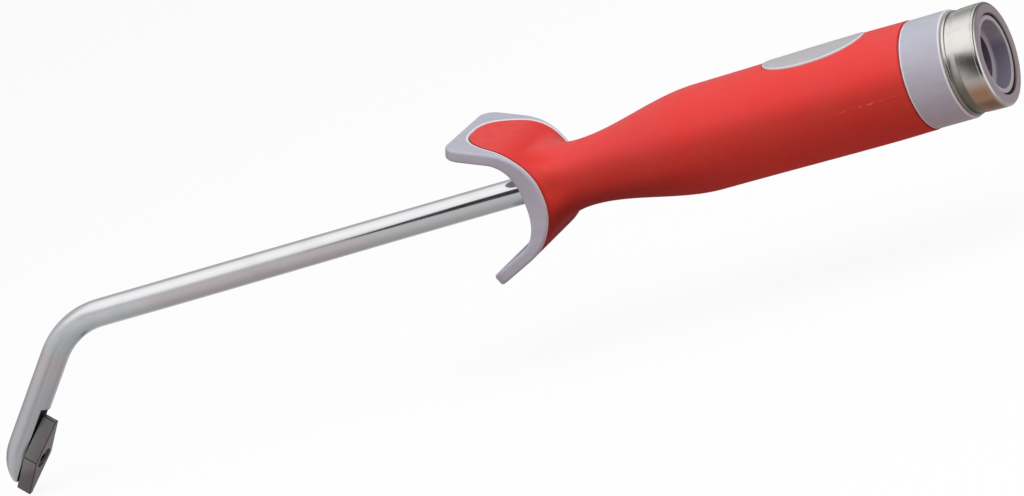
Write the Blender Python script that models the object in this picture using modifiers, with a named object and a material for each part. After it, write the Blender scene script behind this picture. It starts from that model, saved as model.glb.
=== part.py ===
"""Groove scraper: a bent steel bar with a hard scraping insert, in a two-part handle with a striking ring.

The tool is modelled on its handle axis: X runs along the handle towards the striking end, with zero at
the middle of the guard's front face, and the bent tip points down to -Z. All sizes are in metres.
The whole tool hangs on one empty, which is moved at the end so that the tool's box is centred.
"""
import math

import bmesh
import bpy
from mathutils import Matrix, Vector

# Clearances, overruns and tolerances
FIT_GAP = 0.0003              # between pieces that touch on the real tool
CUT_OVERRUN = 0.0030          # how far a cutter passes the surface it cuts
MERGE_DISTANCE = 0.00001      # points closer than this are one point
SHARP_ANGLE = math.radians(35.0)
MILLIMETRE = 0.001

# Bent bar
BAR_DIAMETER = 0.0080
BAR_REACH = 0.1677            # guard's front face to the corner of the bend
BEND_ANGLE = math.radians(45.0)
BEND_RADIUS = 0.0300          # of the bar's centre line
TIP_LENGTH = 0.0602           # corner of the bend to the end of the bar
NOSE_LENGTH = 0.0132          # stretch over which the end of the bar is ground away
NOSE_THICKNESS = 0.0026       # what is left of the bar at its end
NOSE_POWER = 2.4              # 2 would be a parabola
TANG_BACKING = 0.01715        # hard plastic between the bar's end and the hollow in the striking end
TANG_FLAT_START = 0.0300
TANG_FLAT_LENGTH = 0.0500
TANG_FLAT_DEPTH = 0.0008      # each of the two flats that stop the bar turning
BAR_BEVEL_RESOLUTION = 14     # gives a bar of 32 sides
BEND_STEPS = 8
NOSE_STEPS = 7

# Scraping insert and its seat
INSERT_FROM_END = 0.0128      # insert's centre to the end of the bar
INSERT_LENGTH = 0.0281
INSERT_WIDTH = 0.0100         # across its middle
INSERT_END_WIDTH = 0.0017     # across each scraping end
INSERT_THICKNESS = 0.0047
INSERT_EDGE = 0.00015         # honed edge
SEAT_DEPTH = 0.0009           # flat ground into the bar
SEAT_RUNOUT = 0.0027          # seat cut past the insert, on the handle side

# Insert screw
SCREW_RADIUS = 0.0018
SCREW_HEAD_RADIUS = 0.0030
SCREW_HEAD_RIM = 0.0003       # straight rim over the countersunk cone
SCREW_SINK = 0.0005           # head below the insert's face
SCREW_GRIP = 0.0055           # how far the screw goes into the bar
SCREW_KEY_ACROSS = 0.0025     # hexagon socket, across flats
SCREW_KEY_DEPTH = 0.0012
SCREW_SIDES = 24

# Guard, a curved plate measured along its back from the middle
GUARD_THICKNESS = 0.0058      # at its middle
WING_THICKNESS = 0.0035
GUARD_HALF_LENGTH = 0.0348    # along the back, to the end of a wing
GUARD_WIDTH = 0.0336          # across the wings
GUARD_WAIST = 0.0016          # drawn in on each side at the middle
GUARD_WAIST_REACH = 0.0230
GUARD_WING_ANGLE = math.radians(22.0)
GUARD_BACK_RADIUS = 0.0170
GUARD_BACK_FLAT = 0.0010      # half height of the straight middle
GUARD_CORNER_RADIUS = 0.0050
GUARD_EDGE_ROUND = 0.0008
GUARD_END_STEPS = 2
GUARD_CORNER_STEPS = 4
GUARD_SIDE_STEPS = 7
GUARD_FACE_STEPS = 5
EDGE_STEPS = 2

# Soft inlay on the guard's back, measured along the curved back from its middle
INLAY_END_RIM = 0.0037        # hard plastic left at a wing's end
INLAY_SIDE_RIM = 0.0020       # and at the guard's sides
INLAY_WAIST = 0.0014          # drawn in on each side at the middle
INLAY_WAIST_REACH = 0.0160
INLAY_POWER = 2.8             # 2 would be an ellipse, more is squarer
INLAY_DEPTH = 0.0012

# Grip
NECK_RADIUS = 0.0095
NECK_X = 0.0140               # the flare from the guard ends here
SHOULDER_RADIUS = 0.0151
SHOULDER_X = 0.0540
BELLY_RADIUS = 0.01545
BELLY_FROM_COLLAR = 0.0118
SLEEVE_END_RADIUS = 0.0153
SLEEVE_WALL = 0.0025
FLARE_TOP_SHARE = 0.38        # of the way from the neck to the inlay's edge, above and below
FLARE_SIDE_SHARE = 0.90       # the same at the sides
ROUND_SIDES = 40
FLARE_STEPS = 6
INLAY_STEPS = 6
NECK_STEPS = 9
BELLY_STEPS = 5
SLEEVE_END_STEPS = 2
CORE_STEPS = 7
CORE_END_STEPS = 2

# Thumb pad
PAD_FROM_COLLAR = 0.0275      # pad's centre to the hard collar
PAD_LENGTH = 0.0309
PAD_WIDTH = 0.0136
PAD_PROUD = 0.00045
PAD_POWER = 2.3
PAD_SIDES = 36

# Collar, striking ring and hollow end
HANDLE_LENGTH = 0.1421        # guard's front face to the striking end
COLLAR_LENGTH = 0.0120
COLLAR_RADIUS = 0.0151
COLLAR_EDGE = 0.0005
RING_LENGTH = 0.0103
RING_RADIUS = 0.0145
RING_WALL = 0.0033
RING_FILLET = 0.00115
RING_GROOVE_AT = 0.0009       # from the ring's front face
RING_GROOVE_WIDTH = 0.0007
RING_GROOVE_DEPTH = 0.0003
BOSS_RECESS = 0.00055         # hard boss below the ring's end face
BOSS_WALL = 0.0014            # round the wide mouth of the hollow
BORE_DEPTH = 0.0044
BORE_STEP = 0.0023            # from the wide mouth in to the narrow socket
SOCKET_DEPTH = 0.0270         # from the bore's step to the bottom
RING_SIDES = 48
FILLET_STEPS = 4

# Worked out from the sizes above
BAR_RADIUS = BAR_DIAMETER / 2
NOSE_RISE = BAR_DIAMETER - NOSE_THICKNESS       # how far the ground side of the end climbs
RING_X = HANDLE_LENGTH - RING_LENGTH
COLLAR_X = RING_X - COLLAR_LENGTH
BELLY_X = COLLAR_X - BELLY_FROM_COLLAR
PAD_CENTRE_X = COLLAR_X - PAD_FROM_COLLAR
RING_BORE_RADIUS = RING_RADIUS - RING_WALL
BOSS_RADIUS = RING_BORE_RADIUS - FIT_GAP
BORE_RADIUS = BOSS_RADIUS - BOSS_WALL
SOCKET_RADIUS = BORE_RADIUS - BORE_STEP
BOSS_X = HANDLE_LENGTH - BOSS_RECESS
BORE_STEP_X = BOSS_X - BORE_DEPTH
SOCKET_BOTTOM_X = BORE_STEP_X - SOCKET_DEPTH
TANG_LENGTH = SOCKET_BOTTOM_X - TANG_BACKING    # bar inside the handle, from the guard's front face
HALF_GUARD = GUARD_WIDTH / 2
WING_TURN = math.pi / 2 - GUARD_WING_ANGLE      # how far the guard's back turns before the straight wings
INLAY_HALF_LENGTH = GUARD_HALF_LENGTH - INLAY_END_RIM
INLAY_HALF_WIDTH = HALF_GUARD - INLAY_SIDE_RIM
INSERT_CENTRE = TIP_LENGTH - INSERT_FROM_END    # from the corner of the bend
SEAT_HEIGHT = BAR_RADIUS - SEAT_DEPTH           # above the bar's axis
INSERT_BACK = SEAT_HEIGHT + FIT_GAP
INSERT_FACE = INSERT_BACK + INSERT_THICKNESS


# Objects and collections

def clear_scene():
    """Start from an empty file."""
    for obj in list(bpy.data.objects):
        bpy.data.objects.remove(obj, do_unlink=True)


def new_collection(name):
    collection = bpy.data.collections.new(name)
    bpy.context.scene.collection.children.link(collection)
    return collection


def new_empty(name, parent=None):
    """A plain empty that carries other objects."""
    empty = bpy.data.objects.new(name, None)
    TOOL.objects.link(empty)
    empty.parent = parent
    return empty


def place(name, mesh, parent, rotation=(0.0, 0.0, 0.0), location=(0.0, 0.0, 0.0), cutter=False):
    """Put a mesh on an object under the given empty."""
    mesh.name = name
    obj = bpy.data.objects.new(name, mesh)
    (CUTTERS if cutter else TOOL).objects.link(obj)
    obj.parent = parent
    obj.rotation_euler = rotation
    obj.location = location
    if cutter:
        obj.hide_render = True
        obj.display_type = "WIRE"
    return obj


def finish(obj, color, roughness, metallic):
    """Give the piece its own material and smooth round faces."""
    material = bpy.data.materials.new(obj.name)
    material.use_nodes = True
    shader = material.node_tree.nodes["Principled BSDF"]
    shader.inputs["Base Color"].default_value = (*color, 1.0)
    shader.inputs["Roughness"].default_value = roughness
    shader.inputs["Metallic"].default_value = metallic
    obj.data.materials.clear()
    obj.data.materials.append(material)
    obj.data.shade_smooth()
    obj.data.set_sharp_from_angle(angle=SHARP_ANGLE)
    return obj


def boolean(obj, other, operation):
    """Cut, join or keep the common part, with the exact solver."""
    modifier = obj.modifiers.new(f"{operation.lower()} {other.name}", "BOOLEAN")
    modifier.operation = operation
    modifier.solver = "EXACT"
    modifier.object = other
    return modifier


# Shapes

def turned(name, profile, sides, parent, rotation=(0.0, math.pi / 2, 0.0), location=(0.0, 0.0, 0.0),
           cutter=False):
    """A turned piece: (radius, height) points from the top down the outer side, swept by a Screw."""
    mesh = bpy.data.meshes.new(name)
    shape = bmesh.new()
    verts = [shape.verts.new((radius, 0.0, height)) for radius, height in profile]
    for first, second in zip(verts, verts[1:]):
        shape.edges.new((first, second))
    shape.to_mesh(mesh)
    shape.free()
    obj = place(name, mesh, parent, rotation, location, cutter)
    screw = obj.modifiers.new("turn", "SCREW")
    screw.axis = "Z"
    screw.angle = math.tau
    screw.steps = sides
    screw.render_steps = sides
    screw.use_merge_vertices = True
    screw.merge_threshold = MERGE_DISTANCE
    return obj


def loft(name, rings, parent, closed=False, tips=None, cutter=False):
    """Skin rings of equal point counts. A closed loft joins its last ring to its first."""
    shape = bmesh.new()
    rows = [[shape.verts.new(point) for point in ring] for ring in rings]
    count = len(rows[0])
    pairs = list(zip(rows, rows[1:]))
    if closed:
        pairs.append((rows[-1], rows[0]))
    for lower, upper in pairs:
        for i in range(count):
            j = (i + 1) % count
            shape.faces.new((lower[i], lower[j], upper[j], upper[i]))
    if tips:
        first = shape.verts.new(tips[0])
        last = shape.verts.new(tips[1])
        for i in range(count):
            j = (i + 1) % count
            shape.faces.new((first, rows[0][j], rows[0][i]))
            shape.faces.new((last, rows[-1][i], rows[-1][j]))
    bmesh.ops.recalc_face_normals(shape, faces=shape.faces)
    mesh = bpy.data.meshes.new(name)
    shape.to_mesh(mesh)
    shape.free()
    return place(name, mesh, parent, cutter=cutter)


def curve_mesh(curve_object):
    """Turn a curve object into a closed mesh and remove the curve."""
    graph = bpy.context.evaluated_depsgraph_get()
    mesh = bpy.data.meshes.new_from_object(curve_object.evaluated_get(graph))
    bpy.data.objects.remove(curve_object, do_unlink=True)
    shape = bmesh.new()
    shape.from_mesh(mesh)
    bmesh.ops.remove_doubles(shape, verts=shape.verts, dist=MERGE_DISTANCE)
    bmesh.ops.recalc_face_normals(shape, faces=shape.faces)
    shape.to_mesh(mesh)
    shape.free()
    return mesh


def poly_curve(points, dimensions, closed):
    """A curve object with one straight-segment spline, not yet placed."""
    curve = bpy.data.curves.new("outline", "CURVE")
    curve.dimensions = dimensions
    spline = curve.splines.new("POLY")
    spline.points.add(len(points) - 1)
    for target, point in zip(spline.points, points):
        target.co = (point[0], point[1], point[2] if len(point) > 2 else 0.0, 1.0)
    spline.use_cyclic_u = closed
    obj = bpy.data.objects.new("outline", curve)
    bpy.context.scene.collection.objects.link(obj)
    return obj


def plate(name, outline, thickness, parent, rotation=(0.0, 0.0, 0.0), location=(0.0, 0.0, 0.0),
          cutter=False):
    """A flat outline, filled and thickened to both sides of its plane."""
    obj = poly_curve(outline, "2D", True)
    obj.data.fill_mode = "BOTH"
    obj.data.extrude = thickness / 2
    return place(name, curve_mesh(obj), parent, rotation, location, cutter)


def box(name, low, high, parent, cutter=False):
    """A box between two corners."""
    size = Vector(high) - Vector(low)
    middle = (Vector(high) + Vector(low)) / 2
    shape = bmesh.new()
    bmesh.ops.create_cube(shape, size=1.0, matrix=Matrix.Translation(middle) @ Matrix.Diagonal((*size, 1.0)))
    mesh = bpy.data.meshes.new(name)
    shape.to_mesh(mesh)
    shape.free()
    return place(name, mesh, parent, cutter=cutter)


def arc(centre, radius, start, end, steps):
    """Points on an arc in a plane, both ends included."""
    angles = [start + (end - start) * i / steps for i in range(steps + 1)]
    return [(centre[0] + radius * math.cos(a), centre[1] + radius * math.sin(a)) for a in angles]


def stations(start, end, steps):
    """Places along the handle, both ends included."""
    return [start + (end - start) * i / steps for i in range(steps + 1)]


def smooth(share):
    """Ease from 0 to 1 with level ends."""
    return share * share * (3.0 - 2.0 * share)


def signed_power(value, power):
    return math.copysign(abs(value) ** power, value)


# Guard's curves

def guard_back(along):
    """Point and outward normal on the guard's back, at a length along it from its middle."""
    length = abs(along)
    side = math.copysign(1.0, along)
    arc_length = GUARD_BACK_RADIUS * WING_TURN
    turn = min(max(length - GUARD_BACK_FLAT, 0.0) / GUARD_BACK_RADIUS, WING_TURN)
    wing = max(length - GUARD_BACK_FLAT - arc_length, 0.0)
    x = GUARD_THICKNESS - GUARD_BACK_RADIUS * (1.0 - math.cos(turn)) - wing * math.cos(GUARD_WING_ANGLE)
    z = min(length, GUARD_BACK_FLAT) + GUARD_BACK_RADIUS * math.sin(turn) + wing * math.sin(GUARD_WING_ANGLE)
    return Vector((x, 0.0, side * z)), Vector((math.cos(turn), 0.0, side * math.sin(turn)))


def along_guard_back(z):
    """The length along the guard's back at which it reaches a height."""
    height = abs(z)
    arc_top = GUARD_BACK_FLAT + GUARD_BACK_RADIUS * math.sin(WING_TURN)
    if height <= GUARD_BACK_FLAT:
        length = height
    elif height <= arc_top:
        turn = math.asin((height - GUARD_BACK_FLAT) / GUARD_BACK_RADIUS)
        length = GUARD_BACK_FLAT + GUARD_BACK_RADIUS * turn
    else:
        length = GUARD_BACK_FLAT + GUARD_BACK_RADIUS * WING_TURN
        length += (height - arc_top) / math.sin(GUARD_WING_ANGLE)
    return math.copysign(length, z)


def waist(along, depth, reach):
    """How far a side is drawn in towards the middle of the guard."""
    return depth * max(1.0 - (along / reach) ** 2, 0.0) ** 2


def guard_edge(inset):
    """Outline of the guard as (length along the back, Y) points, drawn in by an inset."""
    length = GUARD_HALF_LENGTH - inset
    width = HALF_GUARD - inset
    radius = GUARD_CORNER_RADIUS - inset
    quarter = [(length, y) for y in stations(0.0, width - radius, GUARD_END_STEPS)[:-1]]
    quarter += arc((length - radius, width - radius), radius, 0.0, math.pi / 2, GUARD_CORNER_STEPS)
    quarter += [(along, width) for along in stations(length - radius, 0.0, GUARD_SIDE_STEPS)[1:]]
    quarter = [(along, y - waist(along, GUARD_WAIST, GUARD_WAIST_REACH) * y / width) for along, y in quarter]
    half = quarter + [(-along, y) for along, y in reversed(quarter[:-1])]
    return half + [(along, -y) for along, y in reversed(half[1:-1])]


def guard_thickness(along):
    """Thickness of the guard, thinner out to the wings."""
    share = min(max(abs(along) - GUARD_BACK_FLAT, 0.0) / (GUARD_BACK_RADIUS * WING_TURN), 1.0)
    return WING_THICKNESS + (GUARD_THICKNESS - WING_THICKNESS) * math.cos(share * math.pi / 2) ** 2


def inlay_edge(angle, grow=0.0):
    """Edge of the soft inlay, as (length along the back, Y), grown by a clearance."""
    along = (INLAY_HALF_LENGTH + grow) * signed_power(math.cos(angle), 2.0 / INLAY_POWER)
    across = (INLAY_HALF_WIDTH + grow) * signed_power(math.sin(angle), 2.0 / INLAY_POWER)
    across -= waist(along, INLAY_WAIST, INLAY_WAIST_REACH) * across / INLAY_HALF_WIDTH
    return along, across


def on_guard_back(along, across, lift):
    """A point over the guard's back, lifted along its normal."""
    point, normal = guard_back(along)
    point = point + normal * lift
    return Vector((point.x, across, point.z))


def face_ring(outline, share, lift, front):
    """An outline scaled towards the guard's middle, lifted over its back or its front face."""
    ring = []
    for along, across in outline:
        depth = guard_thickness(along * share) if front else 0.0
        ring.append(on_guard_back(along * share, across * share, lift - depth))
    return ring


def edge_ring(turn, front):
    """A ring on the guard's rounded edge, from the face at turn 0 to the side at a quarter turn."""
    outline = guard_edge(GUARD_EDGE_ROUND * (1.0 - math.sin(turn)))
    lift = GUARD_EDGE_ROUND * (1.0 - math.cos(turn))
    return face_ring(outline, 1.0, lift if front else -lift, front)


def ring_angles(sides):
    return [math.tau * i / sides for i in range(sides)]


# Grip

def grip_radius(x):
    """Outer radius of the soft sleeve along the handle."""
    if x <= SHOULDER_X:
        share = max(x - NECK_X, 0.0) / (SHOULDER_X - NECK_X)
        return NECK_RADIUS + (SHOULDER_RADIUS - NECK_RADIUS) * smooth(share)
    if x <= BELLY_X:
        share = (x - SHOULDER_X) / (BELLY_X - SHOULDER_X)
        return SHOULDER_RADIUS + (BELLY_RADIUS - SHOULDER_RADIUS) * smooth(share)
    share = min((x - BELLY_X) / (COLLAR_X - BELLY_X), 1.0)
    return BELLY_RADIUS + (SLEEVE_END_RADIUS - BELLY_RADIUS) * smooth(share)


def core_radius(x):
    """Outer radius of the hard core under the sleeve."""
    return grip_radius(x) - SLEEVE_WALL - FIT_GAP


def round_ring(x, radius):
    return [Vector((x, radius * math.sin(a), radius * math.cos(a))) for a in ring_angles(ROUND_SIDES)]


def flare_foot(angle):
    """Where the flare leaves the guard's back, as (Y, Z)."""
    along, across = inlay_edge(angle)
    edge = Vector((across, guard_back(along)[0].z))
    neck = Vector((math.sin(angle), math.cos(angle))) * NECK_RADIUS
    share = FLARE_TOP_SHARE + (FLARE_SIDE_SHARE - FLARE_TOP_SHARE) * math.sin(angle) ** 2
    return neck.lerp(edge, share)


def inlay_ring(share, lift, inner):
    """Ring on the guard's back, from the inlay's edge at share 0 to an inner ring at share 1."""
    ring = []
    for angle in ring_angles(ROUND_SIDES):
        edge_along, edge_across = inlay_edge(angle)
        end = inner(angle)
        end_along = along_guard_back(end.y)
        along = edge_along + (end_along - edge_along) * share
        across = edge_across + (end.x - edge_across) * share
        ring.append(on_guard_back(along, across, lift))
    return ring


def flare_ring(share):
    """Ring on the flare, from the guard's back at share 0 to the neck at share 1."""
    ring = []
    turn = share * math.pi / 2
    for angle in ring_angles(ROUND_SIDES):
        neck = Vector((math.sin(angle), math.cos(angle))) * NECK_RADIUS
        across, height = neck.lerp(flare_foot(angle), 1.0 - math.sin(turn))
        foot = guard_back(along_guard_back(height))[0]
        x = foot.x + (NECK_X - foot.x) * (1.0 - math.cos(turn))
        ring.append(Vector((x, across, height)))
    return ring


def sleeve_rings():
    """All rings of the soft sleeve, out over the handle and back along its bore."""
    bore = core_radius(NECK_X) + FIT_GAP

    def bore_foot(angle):
        height = bore * math.cos(angle)
        normal = guard_back(along_guard_back(height))[1]
        return Vector((bore * math.sin(angle), height + normal.z * INLAY_DEPTH))

    outer = [inlay_ring(i / INLAY_STEPS, 0.0, flare_foot) for i in range(INLAY_STEPS + 1)]
    outer += [flare_ring(i / FLARE_STEPS) for i in range(1, FLARE_STEPS + 1)]
    sleeve_end = COLLAR_X - FIT_GAP
    places = stations(NECK_X, SHOULDER_X, NECK_STEPS)[1:]
    places += stations(SHOULDER_X, BELLY_X, BELLY_STEPS)[1:]
    places += stations(BELLY_X, sleeve_end, SLEEVE_END_STEPS)[1:]
    outer += [round_ring(x, grip_radius(x)) for x in places]
    inner_places = stations(NECK_X, SHOULDER_X, CORE_STEPS)
    inner_places += stations(SHOULDER_X, sleeve_end, CORE_END_STEPS)[1:]
    inner = [round_ring(x, core_radius(x) + FIT_GAP) for x in reversed(inner_places)]
    under = [inlay_ring(1.0 - i / INLAY_STEPS, -INLAY_DEPTH, bore_foot) for i in range(INLAY_STEPS + 1)]
    return outer + inner + under


def pad_outline(grow):
    """The thumb pad's outline seen from above, grown by a clearance."""
    points = []
    for angle in ring_angles(PAD_SIDES):
        x = PAD_CENTRE_X + (PAD_LENGTH / 2 + grow) * signed_power(math.cos(angle), 2.0 / PAD_POWER)
        y = (PAD_WIDTH / 2 + grow) * signed_power(math.sin(angle), 2.0 / PAD_POWER)
        points.append((x, y))
    return points


def pad_column(name, grow, low, high):
    """The pad's outline as an upright column."""
    middle = (0.0, 0.0, (low + high) / 2)
    return plate(name, pad_outline(grow), high - low, AXIS, location=middle, cutter=True)


# The pieces

def bar_path():
    """Centre line of the bar with a radius share for each point, from the tang to the ground nose."""
    setback = BEND_RADIUS * math.tan(BEND_ANGLE / 2)
    points = [(TANG_LENGTH, 0.0, 1.0)]
    bend_x = setback - BAR_REACH
    for i in range(BEND_STEPS + 1):
        turn = BEND_ANGLE * i / BEND_STEPS
        x = bend_x - BEND_RADIUS * math.sin(turn)
        z = BEND_RADIUS * (math.cos(turn) - 1.0)
        points.append((x, z, 1.0))
    nose_start = TIP_LENGTH - NOSE_LENGTH
    for i in range(NOSE_STEPS + 1):
        share = i / NOSE_STEPS
        along = nose_start + NOSE_LENGTH * share
        rise = NOSE_RISE * share ** NOSE_POWER
        # the ground side climbs and the seat side stays, so the centre line climbs half as far
        drift = rise / 2
        x = -BAR_REACH - along * math.cos(BEND_ANGLE) + drift * math.sin(BEND_ANGLE)
        z = -along * math.sin(BEND_ANGLE) - drift * math.cos(BEND_ANGLE)
        points.append((x, z, (BAR_DIAMETER - rise) / BAR_DIAMETER))
    return points


def tang_flats(name, depth, grow):
    """Two boxes beside the bar, which cut the flats of its tang."""
    boxes = []
    for side in (-1.0, 1.0):
        near = side * (BAR_RADIUS - depth)
        far = side * (BAR_RADIUS + CUT_OVERRUN)
        low = (TANG_FLAT_START + grow, min(near, far), -BAR_DIAMETER)
        high = (TANG_FLAT_START + TANG_FLAT_LENGTH - grow, max(near, far), BAR_DIAMETER)
        boxes.append(box(f"{name}_{len(boxes)}", low, high, AXIS, cutter=True))
    return boxes


def make_bar():
    """The round bar: tang, bend, ground nose, seat and screw hole."""
    path = bar_path()
    obj = poly_curve([(x, 0.0, z) for x, z, _ in path], "3D", False)
    for target, (_, _, share) in zip(obj.data.splines[0].points, path):
        target.radius = share
    obj.data.bevel_depth = BAR_RADIUS
    obj.data.bevel_resolution = BAR_BEVEL_RESOLUTION
    obj.data.use_fill_caps = True
    bar = place("shank", curve_mesh(obj), AXIS)
    for flat in tang_flats("tang_flat", TANG_FLAT_DEPTH, 0.0):
        boolean(bar, flat, "DIFFERENCE")
    seat_start = INSERT_CENTRE - INSERT_LENGTH / 2 - SEAT_RUNOUT
    seat_end = TIP_LENGTH + CUT_OVERRUN
    seat = box("seat_cut", (seat_start, -BAR_DIAMETER, SEAT_HEIGHT), (seat_end, BAR_DIAMETER, BAR_DIAMETER),
               TIP, cutter=True)
    boolean(bar, seat, "DIFFERENCE")
    hole_radius = SCREW_RADIUS + FIT_GAP
    bottom = SEAT_HEIGHT - SCREW_GRIP - FIT_GAP
    hole = turned("screw_hole_cut", [(0.0, BAR_DIAMETER), (hole_radius, BAR_DIAMETER), (hole_radius, bottom),
                                     (0.0, bottom)],
                  SCREW_SIDES, TIP, (0.0, 0.0, 0.0), (INSERT_CENTRE, 0.0, 0.0), cutter=True)
    boolean(bar, hole, "DIFFERENCE")
    return finish(bar, (0.62, 0.62, 0.64), 0.18, 1.0)


def insert_outline():
    """The long hexagon of the insert, seen on its face."""
    half = INSERT_LENGTH / 2
    end = INSERT_END_WIDTH / 2
    middle = INSERT_WIDTH / 2
    right = [(half, -end), (half, end), (0.0, middle)]
    left = [(-half, end), (-half, -end), (0.0, -middle)]
    return right + left


def screw_profile(grow, top, bottom):
    """Countersunk screw, or its hole when grown by a clearance."""
    head_top = INSERT_FACE - SCREW_SINK
    rim = head_top - SCREW_HEAD_RIM
    head = SCREW_HEAD_RADIUS + grow
    shaft = SCREW_RADIUS + grow
    cone_end = rim - (head - shaft)
    return [(0.0, top), (head, top), (head, rim), (shaft, cone_end), (shaft, bottom), (0.0, bottom)]


def make_insert():
    """The hard insert, honed all round, with a countersunk hole."""
    insert = plate("scraper_insert", insert_outline(), INSERT_THICKNESS, TIP,
                   location=(INSERT_CENTRE, 0.0, (INSERT_BACK + INSERT_FACE) / 2))
    hone = insert.modifiers.new("hone", "BEVEL")
    hone.width = INSERT_EDGE
    hone.segments = 1
    hone.limit_method = "ANGLE"
    profile = screw_profile(FIT_GAP, INSERT_FACE + CUT_OVERRUN, INSERT_BACK - CUT_OVERRUN)
    hole = turned("insert_hole_cut", profile, SCREW_SIDES, TIP, (0.0, 0.0, 0.0),
                  (INSERT_CENTRE, 0.0, 0.0), cutter=True)
    boolean(insert, hole, "DIFFERENCE")
    return finish(insert, (0.10, 0.10, 0.10), 0.42, 0.7)


def make_screw():
    """Countersunk screw with a hexagon socket."""
    head_top = INSERT_FACE - SCREW_SINK
    screw = turned("insert_screw", screw_profile(0.0, head_top, SEAT_HEIGHT - SCREW_GRIP),
                   SCREW_SIDES, TIP, (0.0, 0.0, 0.0), (INSERT_CENTRE, 0.0, 0.0))
    corner = SCREW_KEY_ACROSS / 2 / math.cos(math.pi / 6)
    hexagon = [(corner * math.cos(a), corner * math.sin(a)) for a in ring_angles(6)]
    height = SCREW_KEY_DEPTH + CUT_OVERRUN
    key = plate("key_socket_cut", hexagon, height, TIP,
                location=(INSERT_CENTRE, 0.0, head_top - SCREW_KEY_DEPTH + height / 2), cutter=True)
    boolean(screw, key, "DIFFERENCE")
    return finish(screw, (0.03, 0.03, 0.035), 0.35, 0.9)


def make_guard():
    """The guard plate with rounded edges and the recess for the soft inlay."""
    turns = [math.pi / 2 * i / EDGE_STEPS for i in range(EDGE_STEPS + 1)]
    shares = [i / GUARD_FACE_STEPS for i in range(1, GUARD_FACE_STEPS)]
    rings = [face_ring(guard_edge(GUARD_EDGE_ROUND), share, 0.0, True) for share in shares]
    rings += [edge_ring(turn, True) for turn in turns]
    rings += [edge_ring(turn, False) for turn in reversed(turns)]
    rings += [face_ring(guard_edge(GUARD_EDGE_ROUND), share, 0.0, False) for share in reversed(shares)]
    tips = (on_guard_back(0.0, 0.0, -GUARD_THICKNESS), on_guard_back(0.0, 0.0, 0.0))
    guard = loft("guard_form", rings, AXIS, tips=tips, cutter=True)
    floor = -INLAY_DEPTH - FIT_GAP
    edge = [inlay_edge(angle, FIT_GAP) for angle in ring_angles(ROUND_SIDES)]
    shares = [i / INLAY_STEPS for i in range(1, INLAY_STEPS + 1)]
    rings = [face_ring(edge, share, floor, False) for share in shares]
    rings += [face_ring(edge, share, CUT_OVERRUN, False) for share in reversed(shares)]
    tips = (on_guard_back(0.0, 0.0, floor), on_guard_back(0.0, 0.0, CUT_OVERRUN))
    recess = loft("inlay_recess_cut", rings, AXIS, tips=tips, cutter=True)
    boolean(guard, recess, "DIFFERENCE")
    return guard


def core_profile():
    """The hard core from its hollow end, over the boss and collar, down to the guard."""
    edge = COLLAR_EDGE
    profile = [(0.0, SOCKET_BOTTOM_X), (SOCKET_RADIUS, SOCKET_BOTTOM_X), (SOCKET_RADIUS, BORE_STEP_X)]
    profile += [(BORE_RADIUS, BORE_STEP_X), (BORE_RADIUS, BOSS_X), (BOSS_RADIUS, BOSS_X)]
    profile += [(BOSS_RADIUS, RING_X), (COLLAR_RADIUS - edge, RING_X), (COLLAR_RADIUS, RING_X - edge)]
    profile += [(COLLAR_RADIUS, COLLAR_X + edge), (COLLAR_RADIUS - edge, COLLAR_X)]
    places = stations(NECK_X, SHOULDER_X, CORE_STEPS) + stations(SHOULDER_X, COLLAR_X, CORE_END_STEPS)[1:]
    profile += [(core_radius(x), x) for x in reversed(places)]
    root = GUARD_THICKNESS / 2
    profile += [(core_radius(NECK_X), root), (0.0, root)]
    return profile


def make_core():
    """The hard core: guard, stem, thumb pad, collar and hollow boss in one moulding."""
    core = turned("handle_core", core_profile(), ROUND_SIDES, AXIS)
    boolean(core, make_guard(), "UNION")
    pad_top = pad_column("pad_form", 0.0, core_radius(PAD_CENTRE_X) / 2, BELLY_RADIUS + CUT_OVERRUN)
    reach = PAD_LENGTH / 2 + CUT_OVERRUN
    places = stations(PAD_CENTRE_X - reach, PAD_CENTRE_X + reach, CORE_STEPS)
    crown = [(0.0, places[-1])]
    crown += [(grip_radius(x) + PAD_PROUD, x) for x in reversed(places)]
    crown += [(0.0, places[0])]
    boolean(pad_top, turned("pad_crown", crown, ROUND_SIDES, AXIS, cutter=True), "INTERSECT")
    boolean(core, pad_top, "UNION")
    hole_radius = BAR_RADIUS + FIT_GAP
    hole_end = TANG_LENGTH + FIT_GAP
    hole = turned("tang_hole_cut", [(0.0, hole_end), (hole_radius, hole_end), (hole_radius, -CUT_OVERRUN),
                                    (0.0, -CUT_OVERRUN)], ROUND_SIDES, AXIS, cutter=True)
    for flat in tang_flats("hole_flat", TANG_FLAT_DEPTH, FIT_GAP):
        boolean(hole, flat, "DIFFERENCE")
    boolean(core, hole, "DIFFERENCE")
    return finish(core, (0.36, 0.35, 0.40), 0.45, 0.0)


def make_sleeve():
    """The soft sleeve with its flare onto the guard and its window for the thumb pad."""
    sleeve = loft("grip_sleeve", sleeve_rings(), AXIS, closed=True)
    window = pad_column("pad_window_cut", FIT_GAP, 0.0, BELLY_RADIUS + CUT_OVERRUN)
    boolean(sleeve, window, "DIFFERENCE")
    return finish(sleeve, (0.62, 0.045, 0.05), 0.5, 0.0)


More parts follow.
